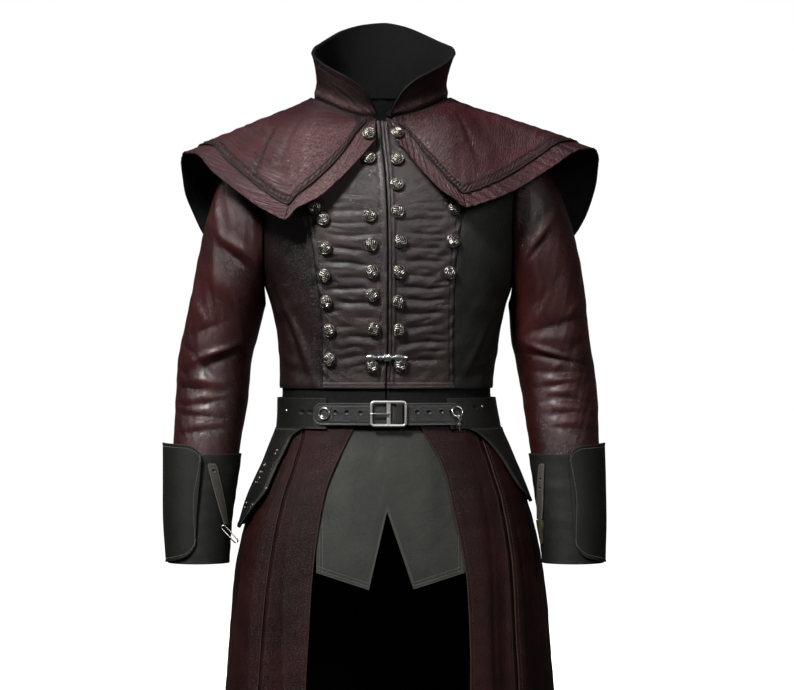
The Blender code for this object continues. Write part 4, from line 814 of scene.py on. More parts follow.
def apron_relief(turn, down, gauge):
    """Soft upright folds, and a pressed groove along each stitched row."""
    free = nearest(gauge.left, gauge.right, gauge.end)
    return (creases(APRON_FOLDS, turn, down) + 0.0003 * crumple(gauge.u, gauge.v, 0.020, 4.4)
            - sum(0.0004 * bump(free - row, 0.0010) for row in APRON_ROWS))


def inset(wall, side, distance):
    """Points and normals on a wall's skin at a distance in metres from one of its edges."""
    field = getattr(wall.gauge, side)
    across = side in ("left", "right")
    skin, normal = wall.skin, wall.normal
    if not across:
        field, skin, normal = field.T, skin.transpose(1, 0, 2), normal.transpose(1, 0, 2)
    if side in ("right", "end"):
        field, skin, normal = field[:, ::-1], skin[:, ::-1], normal[:, ::-1]
    after = np.clip((field < distance).sum(1), 1, field.shape[1] - 1)
    row = np.arange(len(field))
    low, high = field[row, after - 1], field[row, after]
    share = np.clip((distance - low) / np.maximum(high - low, 1e-9), 0, 1)[:, None]
    return (skin[row, after - 1] * (1 - share) + skin[row, after] * share,
            normal[row, after - 1] * (1 - share) + normal[row, after] * share)


def stitches(name, lines, finish, pitch=0.0034, length=0.0023, radius=0.00045):
    """Thread along lines of points and normals: short capsules, each a ring profile on its chord,
    its ends sunk into the leather."""
    angle = round_angles(6)
    rings = [(-0.50, 0.35, -0.6), (-0.28, 1.0, 0.25), (0.28, 1.0, 0.25), (0.50, 0.35, -0.6)]
    size = len(rings) * len(angle)
    points, faces = np.empty((0, 3)), []
    for line, normal in lines:
        reach = np.concatenate([[0], np.cumsum(np.linalg.norm(np.diff(line, axis=0), axis=1))])
        at = np.arange(pitch / 2, reach[-1], pitch)
        start, middle, end = (np.stack([np.interp(at + move, reach, line[:, i]) for i in range(3)], 1)
                              for move in (-length / 2, 0, length / 2))
        out = np.stack([np.interp(at, reach, normal[:, i]) for i in range(3)], 1)
        along = (end - start) / np.maximum(np.linalg.norm(end - start, axis=1), 1e-9)[:, None]
        beside = np.cross(out, along)
        shape = np.stack([middle[:, None] + along[:, None] * (t * length)
                          + out[:, None] * (radius * (h + wide * np.sin(angle)))[None, :, None]
                          + beside[:, None] * (radius * wide * np.cos(angle))[None, :, None]
                          for t, wide, h in rings], 1)
        faces += copied(tube_faces(len(rings), len(angle)), size, len(points), len(at))
        points = np.concatenate([points, shape.reshape(-1, 3)])
    return add_mesh(name, points, faces, finish, 80)


def thread(name, colour):
    """Waxed linen thread: matt, with a faint fleck."""
    made, tree, shader = new_material(name)
    place = add_node(tree, "TexCoord", {}).outputs["Object"]
    dimmed = ranged(tree, noise(tree, place, 900.0, 3.0)[0], 0.0, 1.0, 0.7, 1.3)
    flecked = add_node(tree, "VectorMath", {0: srgb(colour)[:3], 1: dimmed}, operation="MULTIPLY")
    set_inputs(tree, shader, {"Base Color": flecked.outputs[0], "Roughness": 0.75})
    return made


apron = shell("apron_panel", trunk, apron_relief, turn_at(apron_x, apron_down), apron_down,
              -2 * LEATHER - APRON_INSIDE, -LEATHER - APRON_INSIDE, grey)
cut(apron, "grey_leather", "apron")
grey_thread = thread("waxed_grey_thread", "#5c5d55")
apron_lines = [inset(apron, side, row) for row in APRON_ROWS for side in ("left", "right", "end")]
dress(stitches("apron_stitches", apron_lines, grey_thread), "grey_leather")

# The skirt: a narrow front panel and a wide back panel on each side of maroon leather, hung from the
# waistband and open at the middle of the front and back, its cut edges left raw and pale.
SKIRT_TOP, SKIRT_HIP, SKIRT_HEM = 0.432, 0.50, 1.10
VENT_LAP = 0.05                        # radians by which the right half laps under the left at the back
SIDE_LAP, LAP_STEP = 0.03, 0.0024      # radians by which a front panel runs under the back one; its step in
SEAM_ROW, EDGE_ROW = 0.0125, 0.0055    # stitching's distance from the lapped seam and from the other edges
SKIRT_FOLDS = table(
    "turn width height",
    (-150, 9, 0.011), (-128, 8, -0.008), (-106, 9, 0.012), (-84, 8, -0.009),
    (-62, 8, 0.008), (-46, 5, -0.005), (38, 4, 0.005), (46, 4, -0.006),
    (56, 4, 0.006), (66, 5, -0.006), (84, 8, 0.010), (106, 8, -0.009),
    (128, 9, 0.011), (150, 8, -0.009), (180, 10, 0.008), (-180, 10, 0.008))
SKIRT_EDGE = {
    -1: table("down x", (0.432, -0.034), (0.458, -0.046), (0.496, -0.065), (0.548, -0.086),
              (0.614, -0.098), (0.678, -0.105), (0.730, -0.108), (0.823, -0.113), (1.10, -0.118)),
    1: table("down x", (0.432, 0.034), (0.458, 0.048), (0.515, 0.0795), (0.581, 0.095),
             (0.640, 0.1075), (0.678, 0.113), (0.781, 0.117), (0.824, 0.117), (1.10, 0.120))}
SKIRT_SEAM = {
    -1: table("down turn", (0.432, -50), (0.540, -50), (0.620, -50), (0.757, -51), (1.10, -52)),
    1: table("down turn", (0.432, 54), (0.540, 54), (0.620, 53), (0.757, 52), (1.10, 52))}
SMALL_FOLDS = table("turn width height",
                    (-140, 2.2, 0.0016), (-117, 2.0, -0.0014), (-97, 2.4, 0.0015), (-73, 1.8, -0.0013),
                    (-56, 1.4, 0.0012), (-40, 1.3, 0.0010), (42, 1.4, -0.0012), (51, 1.2, 0.0012),
                    (61, 1.5, -0.0014), (75, 2.2, 0.0015), (95, 2.0, -0.0013), (117, 2.3, 0.0015),
                    (139, 2.1, -0.0015), (163, 2.4, 0.0014), (-165, 2.2, -0.0014))


def upright_folds(rows, turn, sway=0.0):
    """Sum of folds that hang straight down, each a bell across, moved round by sway degrees."""
    return sum(size * bump(np.degrees(turn) - at - sway, width) for at, width, size in zip(*rows.values()))


def skirt(turn, down):
    """The trunk with soft upright folds that grow from the hip to the hem."""
    growth = np.clip((down - SKIRT_HIP) / (SKIRT_HEM - SKIRT_HIP), 0, 1)
    return trunk(turn, down) + outward(turn) * (upright_folds(SKIRT_FOLDS, turn) * growth)[..., None]


def skirt_relief(turn, down, gauge):
    """Small upright folds that waver, a few fine cross wrinkles under the belt, grooves at seams."""
    height = upright_folds(SMALL_FOLDS, turn, 1.6 * np.sin(down * 11 + turn * 3))
    growth = ramp(down, 0.46, 0.62) * (0.75 + 0.25 * np.sin(down * 19))
    fine = 0.0004 * crumple(gauge.u * 0.6, gauge.v, 0.012, 5.2)
    broad = 0.0006 * crumple(gauge.u, gauge.v, 0.045, 2.2)
    near = np.minimum(gauge.left, gauge.right)
    return height * growth + (fine + broad) - 0.0004 * bump(near - EDGE_ROW, 0.0010)


def vent_relief(turn, down, gauge):
    """The skirt's relief, stepped in along the back edge where it laps under the other half."""
    lap = ramp(turn, -math.pi, -math.pi + VENT_LAP)
    return skirt_relief(turn, down, gauge) * lap - LAP_STEP * (1 - lap)


def side_lap_relief(side, turn, down, gauge):
    """The skirt's relief, stepped in along the side seam where it laps under the back panel."""
    lap = ramp(gauge.right if side > 0 else gauge.left, 0.0060, 0.0095)
    return skirt_relief(turn, down, gauge) - LAP_STEP * (1 - lap)


maroon_skirt = leather("maroon_skirt_leather", "#190706", "#2b100f", "#40211f", "#3b2d27", 1.8, (9, 26), 0.42,
                       edge_mm=1.1, shine=0.18)
skirt_rows = np.concatenate([np.linspace(SKIRT_TOP, SKIRT_HIP, 14),
                             np.linspace(SKIRT_HIP, SKIRT_HEM, 100)[1:]])
maroon_thread = thread("waxed_brown_thread", "#2c1e19")
for side, word in WORN.items():
    free = edge_turn(SKIRT_EDGE[side], skirt_rows)
    seam = np.radians(read_at(SKIRT_SEAM[side], skirt_rows, "turn"))
    under = seam + side * SIDE_LAP
    narrow = shell(f"skirt_panel_front_{word}", skirt, partial(side_lap_relief, side),
                   between(free, under, 37), skirt_rows[:, None],
                   -LEATHER, 0, maroon_skirt)
    cut(narrow, "maroon_leather", f"skirt_front_{word}")
    behind = side * math.pi + 0 * seam - (VENT_LAP if side < 0 else 0)
    wide = shell(f"skirt_panel_back_{word}", skirt, vent_relief if side < 0 else skirt_relief,
                 between(behind, seam, 101),
                 skirt_rows[:, None], -LEATHER, 0, maroon_skirt)
    cut(wide, "maroon_leather", f"skirt_back_{word}")
    seamed, open_edge = ("left", "right") if side < 0 else ("right", "left")
    lines = [inset(narrow, seamed, SEAM_ROW), inset(narrow, open_edge, EDGE_ROW),
             inset(wide, "left", EDGE_ROW), inset(wide, "right", EDGE_ROW)]
    dress(stitches(f"skirt_stitches_{word}", lines, maroon_thread, 0.0044, 0.003), "maroon_leather")

# The hip flaps: stiff black leather hung under the belt, with a rolled double edge and a slanted front.
BELT_END = 0.4605
FLAP_BACK_TURN = 118
FLAP_STAND, FLAP_THICK = 0.0024, 0.0024
FLAP_FLARE = {-1: 0.0055, 1: 0.0015}
FLAP_EDGE = {
    -1: table("down turn", (0.461, -49), (0.473, -56), (0.496, -58), (0.516, -60), (0.546, -60),
              (0.573, -66), (0.606, -78)),
    1: table("down turn", (0.461, 44), (0.466, 49), (0.501, 62), (0.527, 67), (0.546, 71), (0.568, 80))}


def flap_relief(turn, down, gauge):
    """Two rolled cords along the free edges and a soft swell between them."""
    free = nearest(gauge.left, gauge.right, gauge.end)
    return (0.0011 * bump(free - 0.0018, 0.0015) + 0.0008 * bump(free - 0.0062, 0.0016)
            - 0.0005 * bump(free - 0.0040, 0.0009) + 0.0006 * crumple(gauge.u, gauge.v, 0.022, 6.1))


corded = leather("corded_black_flap_leather", "#0c0c0a", "#181714", "#26251f", "#34352f", 1.6, (12, 16), 0.42,
                 edge_mm=3.2)
for side, word in WORN.items():
    rows = FLAP_EDGE[side]
    last = rows["down"][-1]
    flap_down = np.linspace(BELT_END + HANG_GAP, last, 65)
    front_edge = np.radians(read_at(rows, flap_down, "turn"))
    back_edge = side * math.radians(FLAP_BACK_TURN) + 0 * front_edge
    stand = FLAP_STAND + FLAP_FLARE[side] * (flap_down - BELT_END)[:, None] / (last - BELT_END)
    flap = shell(f"hip_flap_panel_{word}", skirt, flap_relief,
                 between(front_edge, back_edge, 130),
                 flap_down[:, None], stand, stand + FLAP_THICK, corded)
    cut(flap, "black_leather", f"hip_flap_{word}")

# The belt: a wide black band round the sides and back, and a narrower punched strap across the front
# that lies on its ends and passes through the buckle.
BELT_TOP, STRAP_TOP, STRAP_END = 0.4165, 0.4235, 0.4545
BELT_STAND, BELT_THICK, STRAP_STAND, STRAP_THICK = 0.0011, 0.0023, 0.0037, 0.0025
BAND_START, STRAP_REACH, STRAP_ROUND = 33, 40.5, 5.0     # degrees round from the front
PUNCHED = table("x down", (-0.071, 0.4365), (-0.0553, 0.4365), (-0.0365, 0.4370), (0.042, 0.4365),
                (0.058, 0.4365), (0.0755, 0.4360), (0.089, 0.4360))
BAND_HOLES = table("x down", (-0.1183, 0.4364), (-0.1069, 0.4368), (0.1237, 0.4307))
BELT_STUDS = table("x down out radius", (-0.1412, 0.4350, 0.0034, 0.0024), (0.1337, 0.4293, 0.0034, 0.0022),
                   (-0.0893, 0.4431, 0.0062, 0.0027))


def strap_relief(holes, turn, down, gauge):
    """Pressed edge lines, punched holes 4.4 mm across and a slight swell."""
    x = trunk(turn, down)[..., 0]
    height = 0.0002 * crumple(gauge.u, gauge.v, 0.03, 1.4)
    height = height - 0.0004 * bump(nearest(gauge.top, gauge.end) - 0.0030, 0.0008)
    for at, depth in zip(holes["x"], holes["down"]):
        away = np.where(np.cos(turn) > 0, np.hypot(x - at, down - depth), 1.0)
        height = height - 0.0018 * ramp(-away, -0.0026, -0.0018) + 0.0003 * bump(away - 0.0036, 0.0008)
        # Each punched hole is darkened inside: painted shade in the hole.
        gauge.soot_and_shade = gauge.soot_and_shade + ramp(-away, -0.0028, -0.0022)
    return height


def studs(name, places, radii, finish):
    """Round-headed studs in one object: flattened half balls, each closed under its head."""
    angle = round_angles(16)
    lift = np.linspace(0, 0.48 * math.pi, 7)[:, None]
    head = np.stack([np.cos(lift) * np.cos(angle), np.cos(lift) * np.sin(angle),
                     0.7 * np.sin(lift) + 0 * angle], -1)
    head = np.concatenate([head[:1] - (0, 0, 0.3), head])
    faces = copied(tube_faces(*head.shape[:2]), head[..., 0].size, 0, len(places))
    points = [placed(head.reshape(-1, 3) * radius, place) for place, radius in zip(places, radii)]
    return add_mesh(name, np.concatenate(points), faces, finish)


belt_black = leather("glossy_black_bridle_leather", "#0e0e0d", "#1b1b19", "#32312f", "#232220", 1.4,
                     (14, 14), 0.34, 0.00015)
# The strap is the band's black bridle leather made greyer, with pale edges: painted sheen and painted edge
# highlights.
sheen_lit_strap_leather = leather("black_bridle_leather_with_painted_sheen", "#1a1a19", "#2a2928", "#454442", "#55534f", 1.4,
                     (14, 14), 0.34, 0.00015, edge_mm=0.8, shine=0.5)
belt_turns = np.radians(np.linspace(BAND_START, 360 - BAND_START, 201))[None, :]
belt = shell("belt_band", trunk, partial(strap_relief, BAND_HOLES), belt_turns,
             np.linspace(BELT_TOP, BELT_END, 22)[:, None], BELT_STAND, BELT_STAND + BELT_THICK, belt_black)
cut(belt, "black_leather", "belt")
strap_turns = np.radians(np.linspace(-STRAP_REACH, STRAP_REACH, 201))[None, :]
tip = np.clip((np.abs(np.degrees(strap_turns)) - STRAP_REACH) / STRAP_ROUND + 1, 0, 1)
strap_half = (STRAP_END - STRAP_TOP) / 2 * np.sqrt(1 - 0.8 * tip**2)
strap_down = (STRAP_TOP + STRAP_END) / 2 + strap_half * np.linspace(-1, 1, 35)[:, None]
strap = shell("belt_strap_leather", trunk, partial(strap_relief, PUNCHED), strap_turns, strap_down,
              STRAP_STAND, STRAP_STAND + STRAP_THICK, sheen_lit_strap_leather)
cut(strap, "black_leather", "belt_strap")
*stud_rows, stud_radii = BELT_STUDS.values()
stud_places = [on_front(x, down, out) for x, down, out in zip(*stud_rows)]
dress(studs("belt_studs", stud_places, stud_radii, silver), "silver")

# The buckle: a cast silver frame with round corners and a middle bar, a prong over the left window
# and a leather keeper in the right one.
BUCKLE_WIDTH, BUCKLE_HEIGHT, BUCKLE_BAR, BUCKLE_THICK = 0.052, 0.037, 0.0036, 0.0026
BUCKLE_X, BUCKLE_FRONT, BUCKLE_DOWN = 0.0025, 0.1159, 0.438
PRONG_RADIUS = 0.0014
upright = shift(BUCKLE_X, -BUCKLE_FRONT, -BUCKLE_DOWN) @ turned(0, math.pi / 2)


def rail(name, path, up, half_across, half_up, place, finish, closed=False, sides=14, roundness=0.75):
    """A bar carried along a path of points: a rounded section half_across by half_up, where up is
    the direction of its height. An open bar is closed with flat ends."""
    path = np.asarray(path, float)
    if closed:
        ahead = np.roll(path, -1, 0) - np.roll(path, 1, 0)
    else:
        ahead = np.gradient(path, axis=0)
    ahead = ahead / np.linalg.norm(ahead, axis=1)[:, None]
    beside = np.cross(np.broadcast_to(up, path.shape), ahead)
    beside = beside / np.linalg.norm(beside, axis=1)[:, None]
    above = np.cross(ahead, beside)
    angle = round_angles(sides)
    a = np.sign(np.cos(angle)) * np.abs(np.cos(angle))**roundness
    b = np.sign(np.sin(angle)) * np.abs(np.sin(angle))**roundness
    wide, tall = (np.broadcast_to(half, len(path))[:, None, None] for half in (half_across, half_up))
    points = (path[:, None] + beside[:, None] * a[None, :, None] * wide
              + above[:, None] * b[None, :, None] * tall)
    return add_mesh(name, placed(points.reshape(-1, 3), place), tube_faces(len(path), sides, closed),
                    finish, 60)


def wire(name, path, radius, place, finish=silver, up=(0, 0, 1), closed=False, sides=12):
    """A rail of round section."""
    return rail(name, path, up, radius, radius, place, finish, closed, sides, roundness=1.0)


def round_rectangle(width, height, radius, steps=8):
    """Points round a rectangle with round corners, anticlockwise from the right side."""
    quarter = np.linspace(0, math.pi / 2, steps)
    corners = []
    for k, (sx, sy) in enumerate(((1, 1), (-1, 1), (-1, -1), (1, -1))):
        corners.append(np.stack([sx * (width / 2 - radius) + radius * np.cos(quarter + k * math.pi / 2),
                                 sy * (height / 2 - radius) + radius * np.sin(quarter + k * math.pi / 2),
                                 0 * quarter], 1))
    return np.concatenate(corners)


half_bar = BUCKLE_BAR / 2
cast_silver = metal("brushed_cast_silver", "#b9b6ae", "#f0eee8", 0.38, 0.7)
ring_path = round_rectangle(BUCKLE_WIDTH - BUCKLE_BAR, BUCKLE_HEIGHT - BUCKLE_BAR, 0.004)
dress(rail("buckle_frame", ring_path, (0, 0, 1), half_bar, BUCKLE_THICK / 2, upright, cast_silver,
           closed=True), "silver", "buckle")
bar_path = [(0.0002, y, 0) for y in np.linspace(-BUCKLE_HEIGHT / 2 + 0.003, BUCKLE_HEIGHT / 2 - 0.003, 6)]
dress(rail("buckle_bar", bar_path, (0, 0, 1), 0.0030, BUCKLE_THICK / 2 * 0.9, upright, cast_silver),
      "silver")
prong_x = np.linspace(0.0020, -0.0250, 12)
prong_path = np.stack([prong_x, 0 * prong_x, BUCKLE_THICK / 2 + PRONG_RADIUS + 0.0002
                       + 0.0002 * np.sin((prong_x + 0.025) / 0.027 * math.pi)], 1)
prong_size = np.interp(prong_x, [-0.025, -0.022, 0.002], [0.0008, 0.0013, 0.0015])
dress(wire("buckle_tongue", prong_path, prong_size, upright, sides=14), "silver", "buckle_prong")
keeper_path = [(0.0155, y, -0.0004) for y in np.linspace(-0.0143, 0.0143, 12)]
dress(rail("belt_keeper", keeper_path, (0, 0, 1), 0.0045, 0.0011, upright, belt_black, roundness=0.4),
      "black_leather", "belt_loop")

# The belt's rings: silver wire, the right one flat on the strap, the left one standing out over a
# hooked clip. Each swings from its top.
RING_RADIUS, RING_WIRE = 0.0079, 0.0011
RING_AT = {-1: (-0.086, 0.4385), 1: (0.0955, 0.4290)}     # x and down of the right ring and the left
RING_TILT = math.radians(20)
HOOK_RADIUS, HOOK_WIRE = 0.0027, 0.0010
RING_OUT = STRAP_STAND + STRAP_THICK + 0.0005 + RING_WIRE


def circle_points(radius, count, straight=0.0):
    """Points round a ring, or round a long link whose sides run straight for twice straight."""
    angle = 2 * math.pi * np.arange(count) / count
    up = radius * np.cos(angle) + straight * np.sign(np.round(np.cos(angle), 3))
    return np.stack([radius * np.sin(angle), up, 0 * angle], 1)


ring_right = on_front(*RING_AT[-1], RING_OUT)
ring_left = on_front(*RING_AT[1], RING_OUT) @ turned(0, -RING_TILT) @ shift(0, -RING_RADIUS, 0)
for word, place in (("right", ring_right), ("left", ring_left)):
    ring = wire(f"ring_wire_{word}", circle_points(RING_RADIUS, 48), RING_WIRE, place, closed=True)
    dress(ring, "silver", f"belt_ring_{word}", body=f"ring_{word}")
hook_angle = np.radians(np.linspace(250, 0, 30))
hook = np.stack([0 * hook_angle, HOOK_RADIUS * np.sin(hook_angle), HOOK_RADIUS * np.cos(hook_angle)], 1)
tail = np.array([(0, -0.0050, 0.0025), (0, -0.0110, 0.0016), (0, -0.0195, 0.0012)])
clip_place = ring_left @ shift(0, -RING_RADIUS, 0) @ turned(0, RING_TILT)
dress(wire("ring_clip_wire", np.concatenate([hook, tail]), HOOK_WIRE, clip_place, up=(1, 0, 0), sides=10),
      "silver", "ring_clip", body="ring_clip")
bead_across = np.array([0.0004, 0.0022, 0.0036, 0.0036, 0.0022, 0.0004])
bead_path = np.stack([0 * bead_across, np.linspace(-0.0080, -0.0155, 6), np.full(6, 0.0016)], 1)
bead = wire("ring_clip_bead", bead_path, bead_across, clip_place, sides=8)
bead.data.shade_flat()
dress(bead, "silver", body="ring_clip")

# The fittings on the right hip flap: two rivets, a row of small studs and a bead along its slanted
# edge, and four scrolls of flattened silver wire beside them, sewn down flat.
FLAP_STUDS = table("x down radius", (-0.1526, 0.4935, 0.0021), (-0.1547, 0.4985, 0.0017),
                   (-0.1556, 0.5107, 0.0011), (-0.1576, 0.5158, 0.0011), (-0.1596, 0.5210, 0.0011),
                   (-0.1616, 0.5261, 0.0011), (-0.1636, 0.5313, 0.0011), (-0.1654, 0.5364, 0.0011),
                   (-0.1660, 0.5478, 0.0023))
FLAP_SCROLLS = table("x down half_wide half_tall", (-0.1719, 0.5207, 0.0050, 0.0098),
                     (-0.1783, 0.5375, 0.0045, 0.0066), (-0.1950, 0.5735, 0.0040, 0.0062),
                     (-0.1850, 0.5735, 0.0028, 0.0042))
SCROLL_WIRE = 0.0009


def flap_place(x, down):
    """Placement on the outside of the right hip flap."""
    share = (down - BELT_END) / (FLAP_EDGE[-1]["down"][-1] - BELT_END)
    return on_front(x, down, FLAP_STAND + FLAP_THICK + FLAP_FLARE[-1] * share, skirt)


def scroll(half_wide, half_tall):
    """Points of an S whose ends curl in: two three-quarter turns that shrink towards their ends."""
    t = np.linspace(-1, 1, 60)
    swing = np.abs(t) * 1.5 * math.pi
    reach = 1 - 0.55 * np.abs(t)**1.5
    x = np.sign(t) * half_wide * reach * np.sin(swing)
    y = np.sign(t) * (half_tall / 2) * (1 - reach * np.cos(swing))
    return np.stack([x, y, 0 * t], 1)


worn_silver = metal("worn_silver_wire", "#33312d", "#8f8b83", 0.38, 0.7)
stud_places = [flap_place(x, down) for x, down in zip(FLAP_STUDS["x"], FLAP_STUDS["down"])]
dress(studs("hip_flap_studs", stud_places, FLAP_STUDS["radius"], worn_silver), "silver")
for number, (x, down, half_wide, half_tall) in enumerate(zip(*FLAP_SCROLLS.values()), 1):
    dress(rail(f"hip_flap_scroll_{number}", scroll(half_wide, half_tall), (0, 0, 1), SCROLL_WIRE,
               SCROLL_WIRE, flap_place(x, down) @ shift(0, 0, 0.0004), worn_silver, sides=8), "silver")

# The sleeves: two-piece sleeves of burnished maroon leather set into the armholes, with big slanted
# folds over the upper arm and a stack of rolls down the forearm.
CAP_END, SLEEVE_END = 0.285, 0.60
SLEEVE_SEAMS, ARM_RADIUS = (2.75, 5.9), 0.055
ARM = {
    -1: table("down out y half_width half_depth",
              (0.280, 0.2310, 0.008, 0.0555, 0.060), (0.334, 0.2440, 0.012, 0.0545, 0.061),
              (0.368, 0.2510, 0.011, 0.0535, 0.058), (0.420, 0.2540, 0.002, 0.0525, 0.055),
              (0.473, 0.2590, -0.012, 0.0490, 0.051), (0.520, 0.2625, -0.024, 0.0465, 0.047),
              (0.600, 0.2680, -0.043, 0.0420, 0.043), (0.660, 0.2690, -0.055, 0.0400, 0.041)),
    1: table("down out y half_width half_depth",
             (0.280, 0.2325, 0.008, 0.0565, 0.060), (0.334, 0.2375, 0.012, 0.0570, 0.061),
             (0.368, 0.2440, 0.011, 0.0565, 0.058), (0.420, 0.2510, 0.002, 0.0545, 0.055),
             (0.473, 0.2550, -0.012, 0.0510, 0.051), (0.520, 0.2590, -0.024, 0.0480, 0.047),
             (0.600, 0.2640, -0.043, 0.0430, 0.043), (0.660, 0.2660, -0.055, 0.0400, 0.041))}
SLEEVE_FOLDS = {
    -1: folds((0.65, 0.1495, 0.30, 0.010, 0.117, 0.0038), (1.38, 0.2000, 0.45, 0.008, 0.038, 0.0038),
              (1.48, 0.2160, 0.42, 0.007, 0.040, -0.0046), (1.15, 0.2480, 0.24, 0.014, 0.130, 0.0024),
              (1.8, 0.268, 0.8, 0.016, 0.040, 0.0030), (1.65, 0.351, 0.50, 0.0055, -0.0187, 0.0044),
              (1.79, 0.3636, 0.55, 0.006, -0.0198, -0.0042), (1.42, 0.375, 0.17, 0.005, 0.049, -0.0022),
              (1.40, 0.3920, 0.50, 0.007, 0.006, 0.0028), (1.05, 0.4043, 0.70, 0.006, 0.006, -0.0030),
              (1.90, 0.4075, 0.45, 0.005, -0.012, -0.0020), (1.30, 0.4150, 0.60, 0.007, -0.008, 0.0020),
              (1.55, 0.4236, 0.60, 0.005, -0.010, -0.0026), (0.75, 0.4270, 0.35, 0.005, 0.010, -0.0018),
              (1.15, 0.4330, 0.50, 0.006, 0.004, 0.0018), (1.20, 0.4425, 0.75, 0.006, 0.005, -0.0026),
              (2.00, 0.4460, 0.40, 0.005, -0.012, -0.0018), (1.45, 0.4530, 0.60, 0.007, -0.006, 0.0020),
              (1.50, 0.4635, 0.70, 0.005, -0.006, -0.0022),
              (2.3, 0.300, 0.5, 0.007, 0.060, -0.0020), (1.2, 0.318, 0.5, 0.008, -0.020, -0.0020),
              (0.8, 0.290, 0.5, 0.008, 0.050, 0.0014), (0.7, 0.345, 0.4, 0.005, 0.030, -0.0016),
              (0.6, 0.380, 0.4, 0.005, 0.020, -0.0016), (2.5, 0.392, 0.4, 0.005, -0.020, -0.0016),
              (4.6, 0.340, 1.0, 0.012, 0.020, 0.0030), (4.6, 0.375, 1.0, 0.012, 0.010, -0.0030),
              (5.2, 0.240, 0.7, 0.010, -0.050, 0.0020), (4.2, 0.290, 0.6, 0.010, 0.040, -0.0020),
              (5.0, 0.410, 0.8, 0.008, -0.015, 0.0022), (4.4, 0.440, 0.7, 0.008, 0.012, -0.0020)),
    1: folds((1.35, 0.1880, 0.52, 0.009, 0.069, 0.0046), (1.48, 0.2020, 0.32, 0.005, 0.0565, -0.0054),
             (1.78, 0.260, 0.24, 0.034, 0.234, 0.0026), (1.30, 0.250, 0.40, 0.012, 0.060, -0.0016),
             (1.6, 0.315, 1.0, 0.010, 0.015, -0.0036), (1.7, 0.331, 0.9, 0.008, 0.005, 0.0016),
             (1.88, 0.3480, 0.50, 0.005, -0.0193, 0.0046), (1.75, 0.3590, 0.90, 0.004, -0.0100, -0.0044),
             (1.53, 0.3686, 0.20, 0.005, 0.059, 0.0020), (1.60, 0.3800, 0.90, 0.006, 0.000, -0.0026),
             (1.60, 0.3907, 0.45, 0.006, 0.006, 0.0032), (1.75, 0.3990, 0.55, 0.005, 0.009, -0.0024),
             (1.00, 0.4010, 0.35, 0.005, -0.008, -0.0018), (1.52, 0.4070, 0.45, 0.006, 0.008, 0.0026),
             (1.35, 0.4180, 0.70, 0.006, -0.008, -0.0030), (2.10, 0.4225, 0.40, 0.005, 0.012, -0.0018),
             (1.60, 0.4290, 0.60, 0.007, -0.004, 0.0020), (1.60, 0.4390, 0.65, 0.005, 0.006, -0.0026),
             (0.90, 0.4415, 0.35, 0.005, -0.010, -0.0018), (1.40, 0.4500, 0.55, 0.006, 0.006, 0.0018),
             (1.30, 0.4610, 0.75, 0.005, -0.004, -0.0022),
             (2.2, 0.296, 0.5, 0.008, 0.050, -0.0016), (0.9, 0.290, 0.5, 0.007, 0.040, 0.0014),
             (0.8, 0.338, 0.5, 0.005, 0.030, -0.0016), (0.7, 0.395, 0.4, 0.005, 0.020, -0.0016),
             (4.6, 0.335, 1.0, 0.012, -0.020, 0.0030), (4.6, 0.372, 1.0, 0.012, -0.010, -0.0030),
             (5.2, 0.245, 0.7, 0.010, -0.050, 0.0020), (4.2, 0.285, 0.6, 0.010, 0.040, -0.0020),
             (5.0, 0.405, 0.8, 0.008, 0.015, 0.0022), (4.4, 0.436, 0.7, 0.008, -0.012, -0.0020))}


def armhole(side, turn):
    """Loop of the arm's opening on the trunk; turn 0 is the shoulder, a quarter turn the front."""
    down = SHOULDER_DOWN + (ARMPIT_DOWN - SHOULDER_DOWN) * (1 - np.cos(turn)) / 2
    reach = np.where(np.sin(turn) > 0, ARMHOLE_FRONT, ARMHOLE_BACK)
    return trunk(side * (math.pi / 2 - reach * np.sin(turn)), down)


def arm_tube(side, turn, down):
    """Tube of the arm: an ellipse round the arm's centre at each height."""
    size = {name: read_at(ARM[side], down, name) for name in ARM[side]}
    x = side * (size["out"] + size["half_width"] * np.cos(turn))
    y = size["y"] - size["half_depth"] * np.sin(turn)
    return np.stack([x, y, -down + 0 * turn], -1)


def sleeve(side, turn, along):
    """along 0 to 1 is the head, a cubic from the armhole to the tube that leaves outward and
    arrives straight down; past 1 it is the tube, in metres down."""
    share = np.clip(along, 0, 1)
    down = CAP_END + np.maximum(along - 1, 0)
    start = armhole(side, turn)
    end = arm_tube(side, turn, CAP_END + 0 * turn)
    reach = np.linalg.norm(end - start, axis=-1)[..., None] * 0.85
    low = (1 - np.cos(turn)) / 2
    leave = np.stack([side * (1 - 0.75 * low), -0.35 * np.sin(turn), -0.30 - 0.7 * low], -1)
    leave = leave / np.linalg.norm(leave, axis=-1)[..., None]
    arrive = (arm_tube(side, turn, CAP_END + 0.001 + 0 * turn) - end) / 0.001
    s = share[..., None]
    head = (start * (1 + 2 * s) * (1 - s)**2 + leave * reach * s * (1 - s)**2
            + end * s * s * (3 - 2 * s) + arrive * reach * s * s * (s - 1))
    return np.where(along[..., None] < 1, head, arm_tube(side, turn, down))


